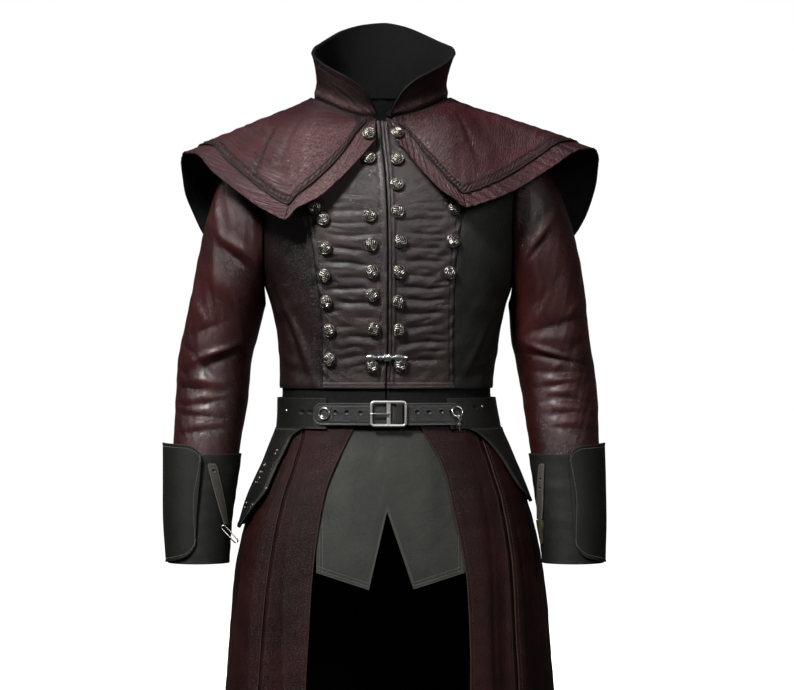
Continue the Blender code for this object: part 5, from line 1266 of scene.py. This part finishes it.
def sleeve_relief(side, turn, along, gauge):
    """Folds, weaker towards the body, fine slack between them, and a seam down the front."""
    depth = -sleeve(side, turn, along)[..., 2]
    fade = np.clip((depth - 0.10) / 0.05, 0, 1) * ramp(-depth, -0.497, -0.470)
    inner_side = 0.15 + 0.85 * np.clip(1 + np.cos(turn), 0, 1)
    height = creases(SLEEVE_FOLDS[side], turn, depth) * fade * inner_side
    height = height + 0.0006 * crumple(gauge.u * 0.5, gauge.v, 0.013, 7.0 + side) * fade
    seam = sum(bump((turn - at) * ARM_RADIUS, 0.0013) for at in SLEEVE_SEAMS)
    # Darker along the armhole seam and the sleeve seams: grime and painted shade in the grooves.
    gauge.soot_and_shade = bump(gauge.top, 0.006) + 0.6 * seam
    # The forearm's front is lightened in speckled patches: painted highlight on the rolls, with scuffs.
    gauge.wear_and_sheen = 0.45 * bump(depth - 0.425, 0.055) * bump(turn - 1.5, 0.55)
    return height - 0.0006 * seam * ramp(-depth, -0.50, -0.49) - 0.0010 * bump(gauge.top, 0.003)


around = np.linspace(0, 2 * math.pi, 116, endpoint=False)[None, :]
sleeve_rows = np.concatenate([np.linspace(0.004, 1, 50), 1 + np.arange(0.0025, 0.205, 0.0025),
                              1 + np.linspace(0.208, SLEEVE_END - CAP_END, 28)])[:, None]
for side, word in WORN.items():
    arm = shell(f"sleeve_leather_{word}", partial(sleeve, side),
                partial(sleeve_relief, side), around, sleeve_rows, -LEATHER, 0, maroon,
                closed=True, flipped=side > 0)
    cut(arm, "maroon_leather", f"sleeve_{word}")

# The cuffs: an under cuff of grey leather round the wrist, and a stiff gauntlet flap turned back
# over its outer half, with a thick rounded edge and a stitched line inside it.
CUFF_TOP, CUFF_END = 0.497, 0.652
CUFF_STAND, CUFF_THICK = 0.0010, 0.0026
TURNBACK_STAND, TURNBACK_THICK = 0.0043, 0.0030
TURNBACK_FLARE = {-1: 0.0085, 1: 0.0015}
TURNBACK_START, TURNBACK_END = math.radians(-105), math.radians(88)
TURNBACK_MIDDLE = math.radians(-8.5)
TURNBACK_FLAT, TURNBACK_CORNER = math.radians(72), math.radians(24.5)
TURNBACK_TOP, TURNBACK_ROUND, TURNBACK_ROW = 0.482, 0.020, 0.0052


def cuff_relief(turn, down, gauge):
    """A few shallow creases across the wrist and a pressed line at both ends."""
    return (0.0005 * crumple(gauge.u * 0.4, gauge.v, 0.010, 8.3)
            - 0.0004 * bump(np.minimum(gauge.top, gauge.end) - 0.005, 0.0010))


def turnback_relief(turn, down, gauge):
    """A thick rounded edge, a pressed stitch line 5 mm inside it and a slight swell."""
    free = nearest(gauge.left, gauge.right, gauge.top, gauge.end)
    return (0.0004 * crumple(gauge.u, gauge.v, 0.028, 9.2) + 0.0006 * bump(free - 0.0016, 0.0016)
            - 0.0005 * bump(free - TURNBACK_ROW, 0.0011))


dark_cuff = leather("blackened_green_cuff_leather", "#0f100c", "#191a15", "#272822", "#282923", 1.5, (14, 14),
                    0.52, 0.0002, shine=0.22)
cuff_down = np.linspace(CUFF_TOP, CUFF_END, 51)[:, None]
flap_turns = np.linspace(TURNBACK_START, TURNBACK_END, 73)[None, :]
flap_rows = np.linspace(0, 1, 73)[:, None]
near_edge = np.clip((np.abs(flap_turns - TURNBACK_MIDDLE) - TURNBACK_FLAT) / TURNBACK_CORNER, 0, 1)
corner = TURNBACK_ROUND * (1 - np.sqrt(1 - 0.98 * near_edge**2))
flap_top = TURNBACK_TOP + 0.006 * np.abs(np.sin(flap_turns / 2)) + corner
flap_end = CUFF_END - 0.001 - 0.005 * np.clip(flap_turns, 0, 2)**2 - corner
flap_down = flap_top + (flap_end - flap_top) * flap_rows
flare = (1 - flap_rows)**0.8 * (0.45 + 0.55 * np.cos(flap_turns / 1.25))
for side, word in WORN.items():
    tube = partial(arm_tube, side)
    stand = TURNBACK_STAND + TURNBACK_FLARE[side] * flare
    wrist = shell(f"under_cuff_{word}", tube, cuff_relief, around[:, ::2], cuff_down, CUFF_STAND,
                  CUFF_STAND + CUFF_THICK, dark_cuff, closed=True, flipped=side > 0)
    cut(wrist, "grey_leather", f"cuff_{word}")
    turnback = shell(f"gauntlet_flap_{word}", tube, turnback_relief, flap_turns, flap_down, stand,
                     stand + TURNBACK_THICK, dark_cuff, flipped=side > 0)
    cut(turnback, "grey_leather", f"cuff_flap_{word}")
    lines = [inset(turnback, edge, TURNBACK_ROW) for edge in ("left", "right", "top", "end")]
    dress(stitches(f"gauntlet_stitches_{word}", lines, grey_thread), "grey_leather")

# The cuff straps: grey leather, one hanging over each under cuff. The right one ends in a long
# silver link, the left one in a pointed tip of tarnished brass.
WRIST_RADIUS = 0.050
CUFF_STRAP_STAND, CUFF_STRAP_THICK = 0.0050, 0.0022
TIP_STAND, TIP_THICK = 0.0044, 0.0036
LINK_LENGTH, LINK_HALF_WIDTH, LINK_WIRE = 0.031, 0.0030, 0.0011
LINK_LEAN, LINK_FORWARD = math.radians(43), 0.0100
CUFF_STRAP = {
    -1: table("down out half_width", (0.511, 0.2490, 0.0045), (0.5145, 0.2482, 0.0062),
              (0.545, 0.2405, 0.0066), (0.575, 0.2335, 0.0060), (0.597, 0.2290, 0.0040)),
    1: table("down out half_width", (0.511, 0.2215, 0.0032), (0.5145, 0.2210, 0.0045),
             (0.545, 0.2190, 0.0062), (0.575, 0.2180, 0.0080), (0.590, 0.2175, 0.0080))}
CUFF_TIP = table("down half_width", (0.5908, 0.0086), (0.598, 0.0084), (0.612, 0.0045), (0.624, 0.0012))
STRAP_HOLE = {-1: (0.521,), 1: (0.533, 0.546)}


def strap_middle(side, down):
    """Turn round the arm of a cuff strap's centre line at each height."""
    rows = CUFF_STRAP[side]
    centre, reach = (read_at(ARM[side], rows["down"], name) for name in ("out", "half_width"))
    middle = np.arccos((rows["out"] - centre) / (reach + CUFF_STRAP_STAND + CUFF_STRAP_THICK / 2))
    return curve(down, rows["down"], middle)


def cuff_strap_relief(side, turn, down, gauge):
    """Punched holes with pressed rims, and rubbed edges."""
    height = -0.0004 * bump(np.minimum(gauge.left, gauge.right) - 0.0018, 0.0006)
    for at in STRAP_HOLE[side]:
        away = np.hypot((turn - strap_middle(side, down)) * WRIST_RADIUS, down - at)
        height = height - 0.0018 * ramp(-away, -0.0021, -0.0014) + 0.0003 * bump(away - 0.0030, 0.0007)
    return height


lacing = leather("grey_brown_strap_leather", "#34322d", "#474540", "#5b5953", "#5c5a52", 1.4, (14, 14), 0.50,
                 0.0002, edge_mm=0.7)
tarnished = metal("tarnished_brass", "#4a4632", "#a39a72", 0.38, 0.7)
for side, word in WORN.items():
    rows = CUFF_STRAP[side]
    strap_along = np.linspace(rows["down"][0], rows["down"][-1], 90)[:, None]
    half_turn = np.interp(strap_along, rows["down"], rows["half_width"]) / WRIST_RADIUS
    turns = strap_middle(side, strap_along) + half_turn * np.linspace(-1, 1, 17)
    lace = shell(f"cuff_strap_leather_{word}", partial(arm_tube, side),
                 partial(cuff_strap_relief, side), turns, strap_along, CUFF_STRAP_STAND,
                 CUFF_STRAP_STAND + CUFF_STRAP_THICK, lacing, flipped=side > 0)
    cut(lace, "grey_leather", f"cuff_strap_{word}")
end_down = CUFF_STRAP[-1]["down"][-1]
strap_end = arm_tube(-1, strap_middle(-1, np.array([end_down])), np.array([end_down]))[0]
link_place = (shift(strap_end[0], strap_end[1] - LINK_FORWARD, strap_end[2] - LINK_WIRE - 0.0004)
              @ turned(1, -LINK_LEAN) @ turned(0, math.pi / 2) @ shift(0, -LINK_LENGTH / 2, 0))
link_path = circle_points(LINK_HALF_WIDTH, 40, LINK_LENGTH / 2 - LINK_HALF_WIDTH)
dress(wire("cuff_link_wire", link_path, LINK_WIRE, link_place, closed=True, sides=10),
      "silver", "cuff_clip_right", body="cuff_clip")
tip_rows = np.linspace(CUFF_TIP["down"][0], CUFF_TIP["down"][-1], 30)[:, None]
tip_half = read_at(CUFF_TIP, tip_rows, "half_width") / WRIST_RADIUS
tip_turns = strap_middle(1, tip_rows) + tip_half * np.linspace(-1, 1, 15)


def tip_relief(turn, down, gauge):
    """A raised middle rib and a pressed border."""
    side_edge = np.minimum(gauge.left, gauge.right)
    return 0.0006 * ramp(side_edge, 0.0, 0.004) - 0.0004 * bump(side_edge - 0.0018, 0.0006)


point = shell("brass_strap_tip", partial(arm_tube, 1), tip_relief, tip_turns, tip_rows,
              TIP_STAND, TIP_STAND + TIP_THICK, tarnished, flipped=True)
dress(point.piece, "old_brass", "cuff_tip_left")

# The cape: a lower layer of maroon leather with a wrinkled border, and an upper layer on it that ends
# in two stitched rows. Both start at the neck seam under the collar and meet in front.
FRONT_TURN, UPPER_TURN = math.radians(4), math.radians(12)
CAPE_OUT, CAPE_UP = 0.0022, 0.0025
CAPE_BACK_BULGE, CAPE_FRONT_BULGE = 0.034, 0.020
CAPE_GAP = 0.0004
CAPE_ROWS = (0.0035, 0.0125)
RUNG_PITCH = 0.0012
CAPE = {
    -1: table("turn x y z upper",
              (4, -0.0160, -0.100, -0.0500, 0.02), (14, -0.0390, -0.112, -0.0780, 0.24),
              (26, -0.0685, -0.124, -0.1100, 0.63), (38, -0.0978, -0.132, -0.1350, 0.77),
              (49, -0.1270, -0.137, -0.1500, 0.86), (56, -0.1430, -0.136, -0.1650, 0.88),
              (62, -0.1560, -0.131, -0.1600, 0.88), (70, -0.1870, -0.118, -0.1420, 0.87),
              (79, -0.2175, -0.098, -0.1185, 0.86), (88, -0.2490, -0.072, -0.0930, 0.855),
              (97, -0.2740, -0.045, -0.0665, 0.86), (104, -0.2930, -0.018, -0.0630, 0.87),
              (112, -0.3000, 0.015, -0.0790, 0.89), (121, -0.2975, 0.045, -0.1135, 0.91),
              (131, -0.2870, 0.072, -0.1460, 0.91), (142, -0.2600, 0.098, -0.1950, 0.92),
              (155, -0.1950, 0.124, -0.2300, 0.92), (168, -0.1080, 0.140, -0.2480, 0.93),
              (180, 0.0000, 0.146, -0.2540, 0.93), (192, 0.1080, 0.140, -0.2480, 0.93)),
    1: table("turn x y z upper",
             (4, 0.0150, -0.100, -0.0500, 0.02), (14, 0.0370, -0.112, -0.0795, 0.24),
             (26, 0.0567, -0.124, -0.1030, 0.63), (38, 0.0763, -0.132, -0.1230, 0.77),
             (49, 0.0960, -0.136, -0.1365, 0.86), (56, 0.1115, -0.136, -0.1475, 0.88),
             (62, 0.1250, -0.132, -0.1445, 0.88), (70, 0.1560, -0.120, -0.1335, 0.87),
             (79, 0.1890, -0.100, -0.1175, 0.865), (88, 0.2330, -0.072, -0.0890, 0.86),
             (97, 0.2760, -0.045, -0.0610, 0.86), (104, 0.2990, -0.018, -0.0570, 0.87),
             (112, 0.3085, 0.015, -0.0720, 0.89), (121, 0.3080, 0.045, -0.0965, 0.91),
             (131, 0.2990, 0.072, -0.1370, 0.91), (142, 0.2700, 0.098, -0.1880, 0.92),
             (155, 0.1980, 0.124, -0.2280, 0.92), (168, 0.1080, 0.140, -0.2480, 0.93),
             (180, 0.0000, 0.146, -0.2540, 0.93), (192, -0.1080, 0.140, -0.2480, 0.93))}


def both_sides(rows, turn, name):
    """A column of a table of the two sides, at each signed turn from the front."""
    degrees = np.degrees(np.abs(turn))
    return np.where(turn < 0, curve(degrees, rows[-1]["turn"], rows[-1][name]),
                    curve(degrees, rows[1]["turn"], rows[1][name]))


def signed(turn):
    """Turns past the back as negative turns of the other side."""
    return np.where(turn > math.pi, turn - 2 * math.pi, turn)


def cape(turn, step):
    """From the neck seam, moved out past the collar, to the hem of CAPE, bulged in between. Step 0
    to 1 lies under the upper layer, 1 to 2 in the border."""
    turn = signed(turn)
    upper = both_sides(CAPE, turn, "upper")
    share = np.where(step <= 1, upper * step, upper + (1 - upper) * (step - 1))
    hem = np.stack([both_sides(CAPE, turn, name) for name in "xyz"], -1)
    start = trunk(turn, 0 * turn) + outward(turn) * CAPE_OUT + np.array([0, 0, CAPE_UP])
    degrees = np.degrees(np.abs(turn))
    height = CAPE_BACK_BULGE * ramp(degrees, 100, 160) + CAPE_FRONT_BULGE * bump(degrees - 55, 28)
    hump = 6.75 * share * (1 - share)**2
    direction = outward(turn) * 0.85 + np.array([0, 0, 0.5])
    return start + (hem - start) * share[..., None] + direction * (height * hump)[..., None]


def chest_wear_and_sheen(turn):
    """How much the cape is lightened: most on the wearer's right chest, a little on the left one; partly
    scuffs, partly a painted sheen.
    """
    degrees = np.degrees(signed(turn))
    return 0.90 * bump(degrees + 38, 26) + 0.15 * bump(degrees - 40, 22) + 0.10


def border_relief(turn, step, gauge):
    """Fine radial wrinkles that start under the upper layer's edge, and a seam at each corner."""
    spread = gauge.u + 0.004 * np.sin(gauge.u / 0.021)
    wrinkles = 0.0007 * np.sin(spread / 0.0022) * (0.25 + np.sin(gauge.u / 0.047 + 1)**2) / 1.25
    wrinkles = wrinkles + 0.0006 * crumple(gauge.u, gauge.v * 0.4, 0.008, 2.7)
    lip = 0.0007 * bump(gauge.end - 0.0016, 0.0014) - 0.0004 * bump(gauge.end - 0.0045, 0.0010)
    corner_seam = bump(np.degrees(np.abs(signed(turn))) - 56, 0.5) * ramp(step, 1.0, 1.05)
    # Darkened just under the upper layer's edge as a painted shadow, and at the corner seams and the neck as
    # grime and painted shade.
    gauge.soot_and_shade = 0.8 * bump(step - 1.0, 0.10) + 0.9 * corner_seam + bump(gauge.top, 0.006)
    # The chest is lightened below the upper layer: scuffs and painted sheen.
    gauge.wear_and_sheen = chest_wear_and_sheen(turn) * ramp(step, 1.0, 1.15)
    return wrinkles * ramp(step, 0.98, 1.10) + lip - 0.0011 * corner_seam


def upper_relief(turn, step, gauge):
    """Two stitched rows near the edge with a ladder of puckers between them, a crease across each
    shoulder, and a soft slack over the rest."""
    free = nearest(gauge.left, gauge.right, gauge.end)
    rows = sum(bump(free - row, 0.0017) for row in CAPE_ROWS)
    rungs = np.sin((gauge.u + 0.3 * gauge.v) / RUNG_PITCH)
    ladder = bump(free - 0.0080, 0.0040)
    slack = 0.0011 * crumple(gauge.u, gauge.v, 0.040, 1.1) + 0.0006 * crumple(gauge.u, gauge.v, 0.012, 4.9)
    degrees = np.degrees(signed(turn))
    fold = bump(np.abs(degrees) - 60 - 9 * step, 2.2) * ramp(step, 0.1, 0.4)
    crease = bump(degrees + 84 - 10 * step, 1.5) * ramp(step, 0.35, 0.55) * ramp(-step, -0.97, -0.90)
    # Darkened in the stitch rows' grooves, the ladder's troughs and the shoulder crease as painted shade, and
    # at the neck as grime and painted shade.
    gauge.soot_and_shade = 0.95 * rows + 0.8 * bump(gauge.top, 0.010) + 0.8 * ladder * (rungs < -0.1) + 0.6 * crease
    # The chest is lightened: scuffs and painted sheen.
    gauge.wear_and_sheen = chest_wear_and_sheen(turn) * ramp(step, 0.15, 0.45)
    return (0.0006 * ramp(step, 0.0, 0.1) + 0.0010 * rungs * ladder - 0.0014 * rows
            + slack * ramp(free, 0.012, 0.03) - 0.0018 * fold * ramp(-step, -0.85, -0.6) - 0.0016 * crease)


def both_ways(first, half):
    """Turns from the front opening round the back to the opening again."""
    half = np.concatenate([[first], half[half > first + 1e-6]])
    return np.concatenate([half, (2 * math.pi - half[::-1])[1:]])[None, :]


cape_half = np.radians(np.unique(np.concatenate([np.linspace(4, 50, 80), np.linspace(50, 115, 130),
                                                 np.linspace(115, 180, 52)])))
cape_maroon = leather("grained_maroon_cape_leather", "#290b0e", "#41151a", "#745555", "#280f11", 2.0, (8, 10),
                      0.36, 0.0004, crackle=0.65, shine=0.35)
lower_steps = np.concatenate([np.linspace(0, 1, 14), 1 + np.linspace(0, 1, 20)[1:]])[:, None]
lower = shell("cape_lower_layer", cape, border_relief, both_ways(FRONT_TURN, cape_half), lower_steps,
              -LEATHER, 0, cape_maroon)
cut(lower, "maroon_leather", "cape_lower")
upper_steps = np.concatenate([np.linspace(0, 0.8, 27), np.linspace(0.8, 1, 32)[1:]])[:, None]
upper = shell("cape_upper_layer", cape, upper_relief, both_ways(UPPER_TURN, cape_half), upper_steps,
              CAPE_GAP, CAPE_GAP + LEATHER, cape_maroon)
cut(upper, "maroon_leather", "cape_upper")
oxblood_thread = thread("waxed_oxblood_thread", "#1e0d0e")
cape_lines = [inset(upper, edge, distance) for distance in CAPE_ROWS for edge in ("left", "right", "end")]
dress(stitches("cape_stitches", cape_lines, oxblood_thread), "maroon_leather")
TOP_BUTTONS = {"inner_right": (-8.3, 1.52), "inner_left": (6.8, 1.55)}
for column, (degrees, step) in TOP_BUTTONS.items():
    place = frame_on(cape, math.radians(degrees), step, CAPE_GAP) @ turned(2, BUTTON_TURN)
    dress(button(f"dome_{column}_1", place, blackened), "antique_silver", f"button_{column}_1")

# The collar: a flared stand collar of maroon leather, faced inside with black leather whose rolled
# edge covers its free edge.
RIM_FRONT = ((4, 0.008, -0.076, -0.014), (14, 0.018, -0.083, 0.003), (26, 0.029, -0.086, 0.020),
             (38, 0.047, -0.084, 0.035), (50, 0.070, -0.076, 0.048), (62, 0.088, -0.064, 0.059),
             (72, 0.103, -0.046, 0.0755))
RIM = {-1: table("turn x y z", *RIM_FRONT, (82, 0.100, -0.026, 0.086), (95, 0.093, 0.000, 0.094),
                 (112, 0.081, 0.028, 0.105), (132, 0.062, 0.056, 0.1185), (156, 0.033, 0.082, 0.129),
                 (180, 0.000, 0.092, 0.1325), (204, -0.032, 0.082, 0.1265)),
       1: table("turn x y z", *RIM_FRONT, (82, 0.100, -0.026, 0.0855), (95, 0.093, 0.000, 0.092),
                (112, 0.080, 0.028, 0.1005), (132, 0.061, 0.056, 0.1125), (156, 0.032, 0.082, 0.1265),
                (180, 0.000, 0.092, 0.1325), (204, -0.033, 0.082, 0.129))}


def collar(turn, share):
    """From the neck seam in to a waist at mid height, then flared to RIM, and on past it."""
    turn = signed(turn)
    rim = np.stack([both_sides(RIM, turn, name) for name in "xyz"], -1)
    rim[..., 0] = np.sign(turn) * rim[..., 0] - 0.005
    start = trunk(turn, 0 * turn) + np.array([0, 0, 0.0006])
    tall = np.linalg.norm(rim - start, axis=-1)
    pinch = 0.42 * tall * (share * (1 - np.clip(share, 0, 1)) * 0.55)
    return start + (rim - start) * share[..., None] - outward(turn) * pinch[..., None]


def collar_relief(turn, share, gauge):
    """Fine wrinkles round the pinched waist, a pressed line under the rolled edge."""
    pinched = bump(share - 0.45, 0.25)
    base_roll, base_seam = bump(gauge.top - 0.0125, 0.0045), bump(gauge.top - 0.0050, 0.0028)
    # Darker at the base seam and under the rolled edge: grime and painted shade.
    gauge.soot_and_shade = base_seam + 0.7 * bump(gauge.end - 0.006, 0.0014)
    # The roll above the base seam is lightened, most towards the wearer's right front: painted highlight,
    # with scuffs.
    gauge.wear_and_sheen = 0.75 * bump(gauge.top - 0.014, 0.007) * (0.6 + 0.4 * np.cos(signed(turn) + 0.6))
    return (0.0006 * crumple(gauge.u, gauge.v * 1.6, 0.010, 3.3) * pinched
            + 0.0004 * crumple(gauge.u, gauge.v, 0.024, 5.5) - 0.0005 * bump(gauge.end - 0.006, 0.0012)
            + 0.0012 * base_roll - 0.0008 * base_seam)


def facing_relief(turn, share, gauge):
    """A slight swell; the roll at the top comes from the offsets."""
    return 0.0003 * crumple(gauge.u, gauge.v, 0.02, 1.9) * ramp(-share, -0.95, -0.85)


collar_turns = both_ways(FRONT_TURN, np.radians(np.linspace(4, 180, 110)))
collar_rows = np.linspace(0, 0.985, 38)[:, None]
# The collar's leather is darker than the cape's: partly its own darker dye, partly painted shade on the
# steep, downward-facing collar.
shade_darkened_collar_maroon = leather("dark_maroon_collar_leather_with_painted_shade", "#150606", "#280e0f", "#5e4543", "#1c0e0d", 2.0,
                        (5, 7), 0.40, 0.0004, crackle=0.5, shine=0.18)
stand_collar = shell("collar_outside", collar, collar_relief, collar_turns, collar_rows, -LEATHER, 0,
                     shade_darkened_collar_maroon, flipped=True)
cut(stand_collar, "maroon_leather", "collar")
facing_rows = np.concatenate([np.linspace(0, 0.975, 22),
                              [0.985, 0.99, 0.995, 1.0, 1.008, 1.016, 1.023, 1.03]])
facing_outer = np.interp(facing_rows, [0.985, 0.992, 1.0, 1.016, 1.03], [-1, -0.6, 0.1, 0.25, 0])
facing_inner = np.interp(facing_rows, [0.96, 0.985, 1.016, 1.03], [0, -0.0006, -0.0006, 0.0008])
facing = shell("collar_lining", collar, facing_relief, collar_turns, facing_rows[:, None],
               (-2 * LEATHER - CAPE_GAP + facing_inner)[:, None],
               (facing_outer * (LEATHER + CAPE_GAP))[:, None], matt_black, flipped=True)
cut(facing, "black_leather", "collar_facing")
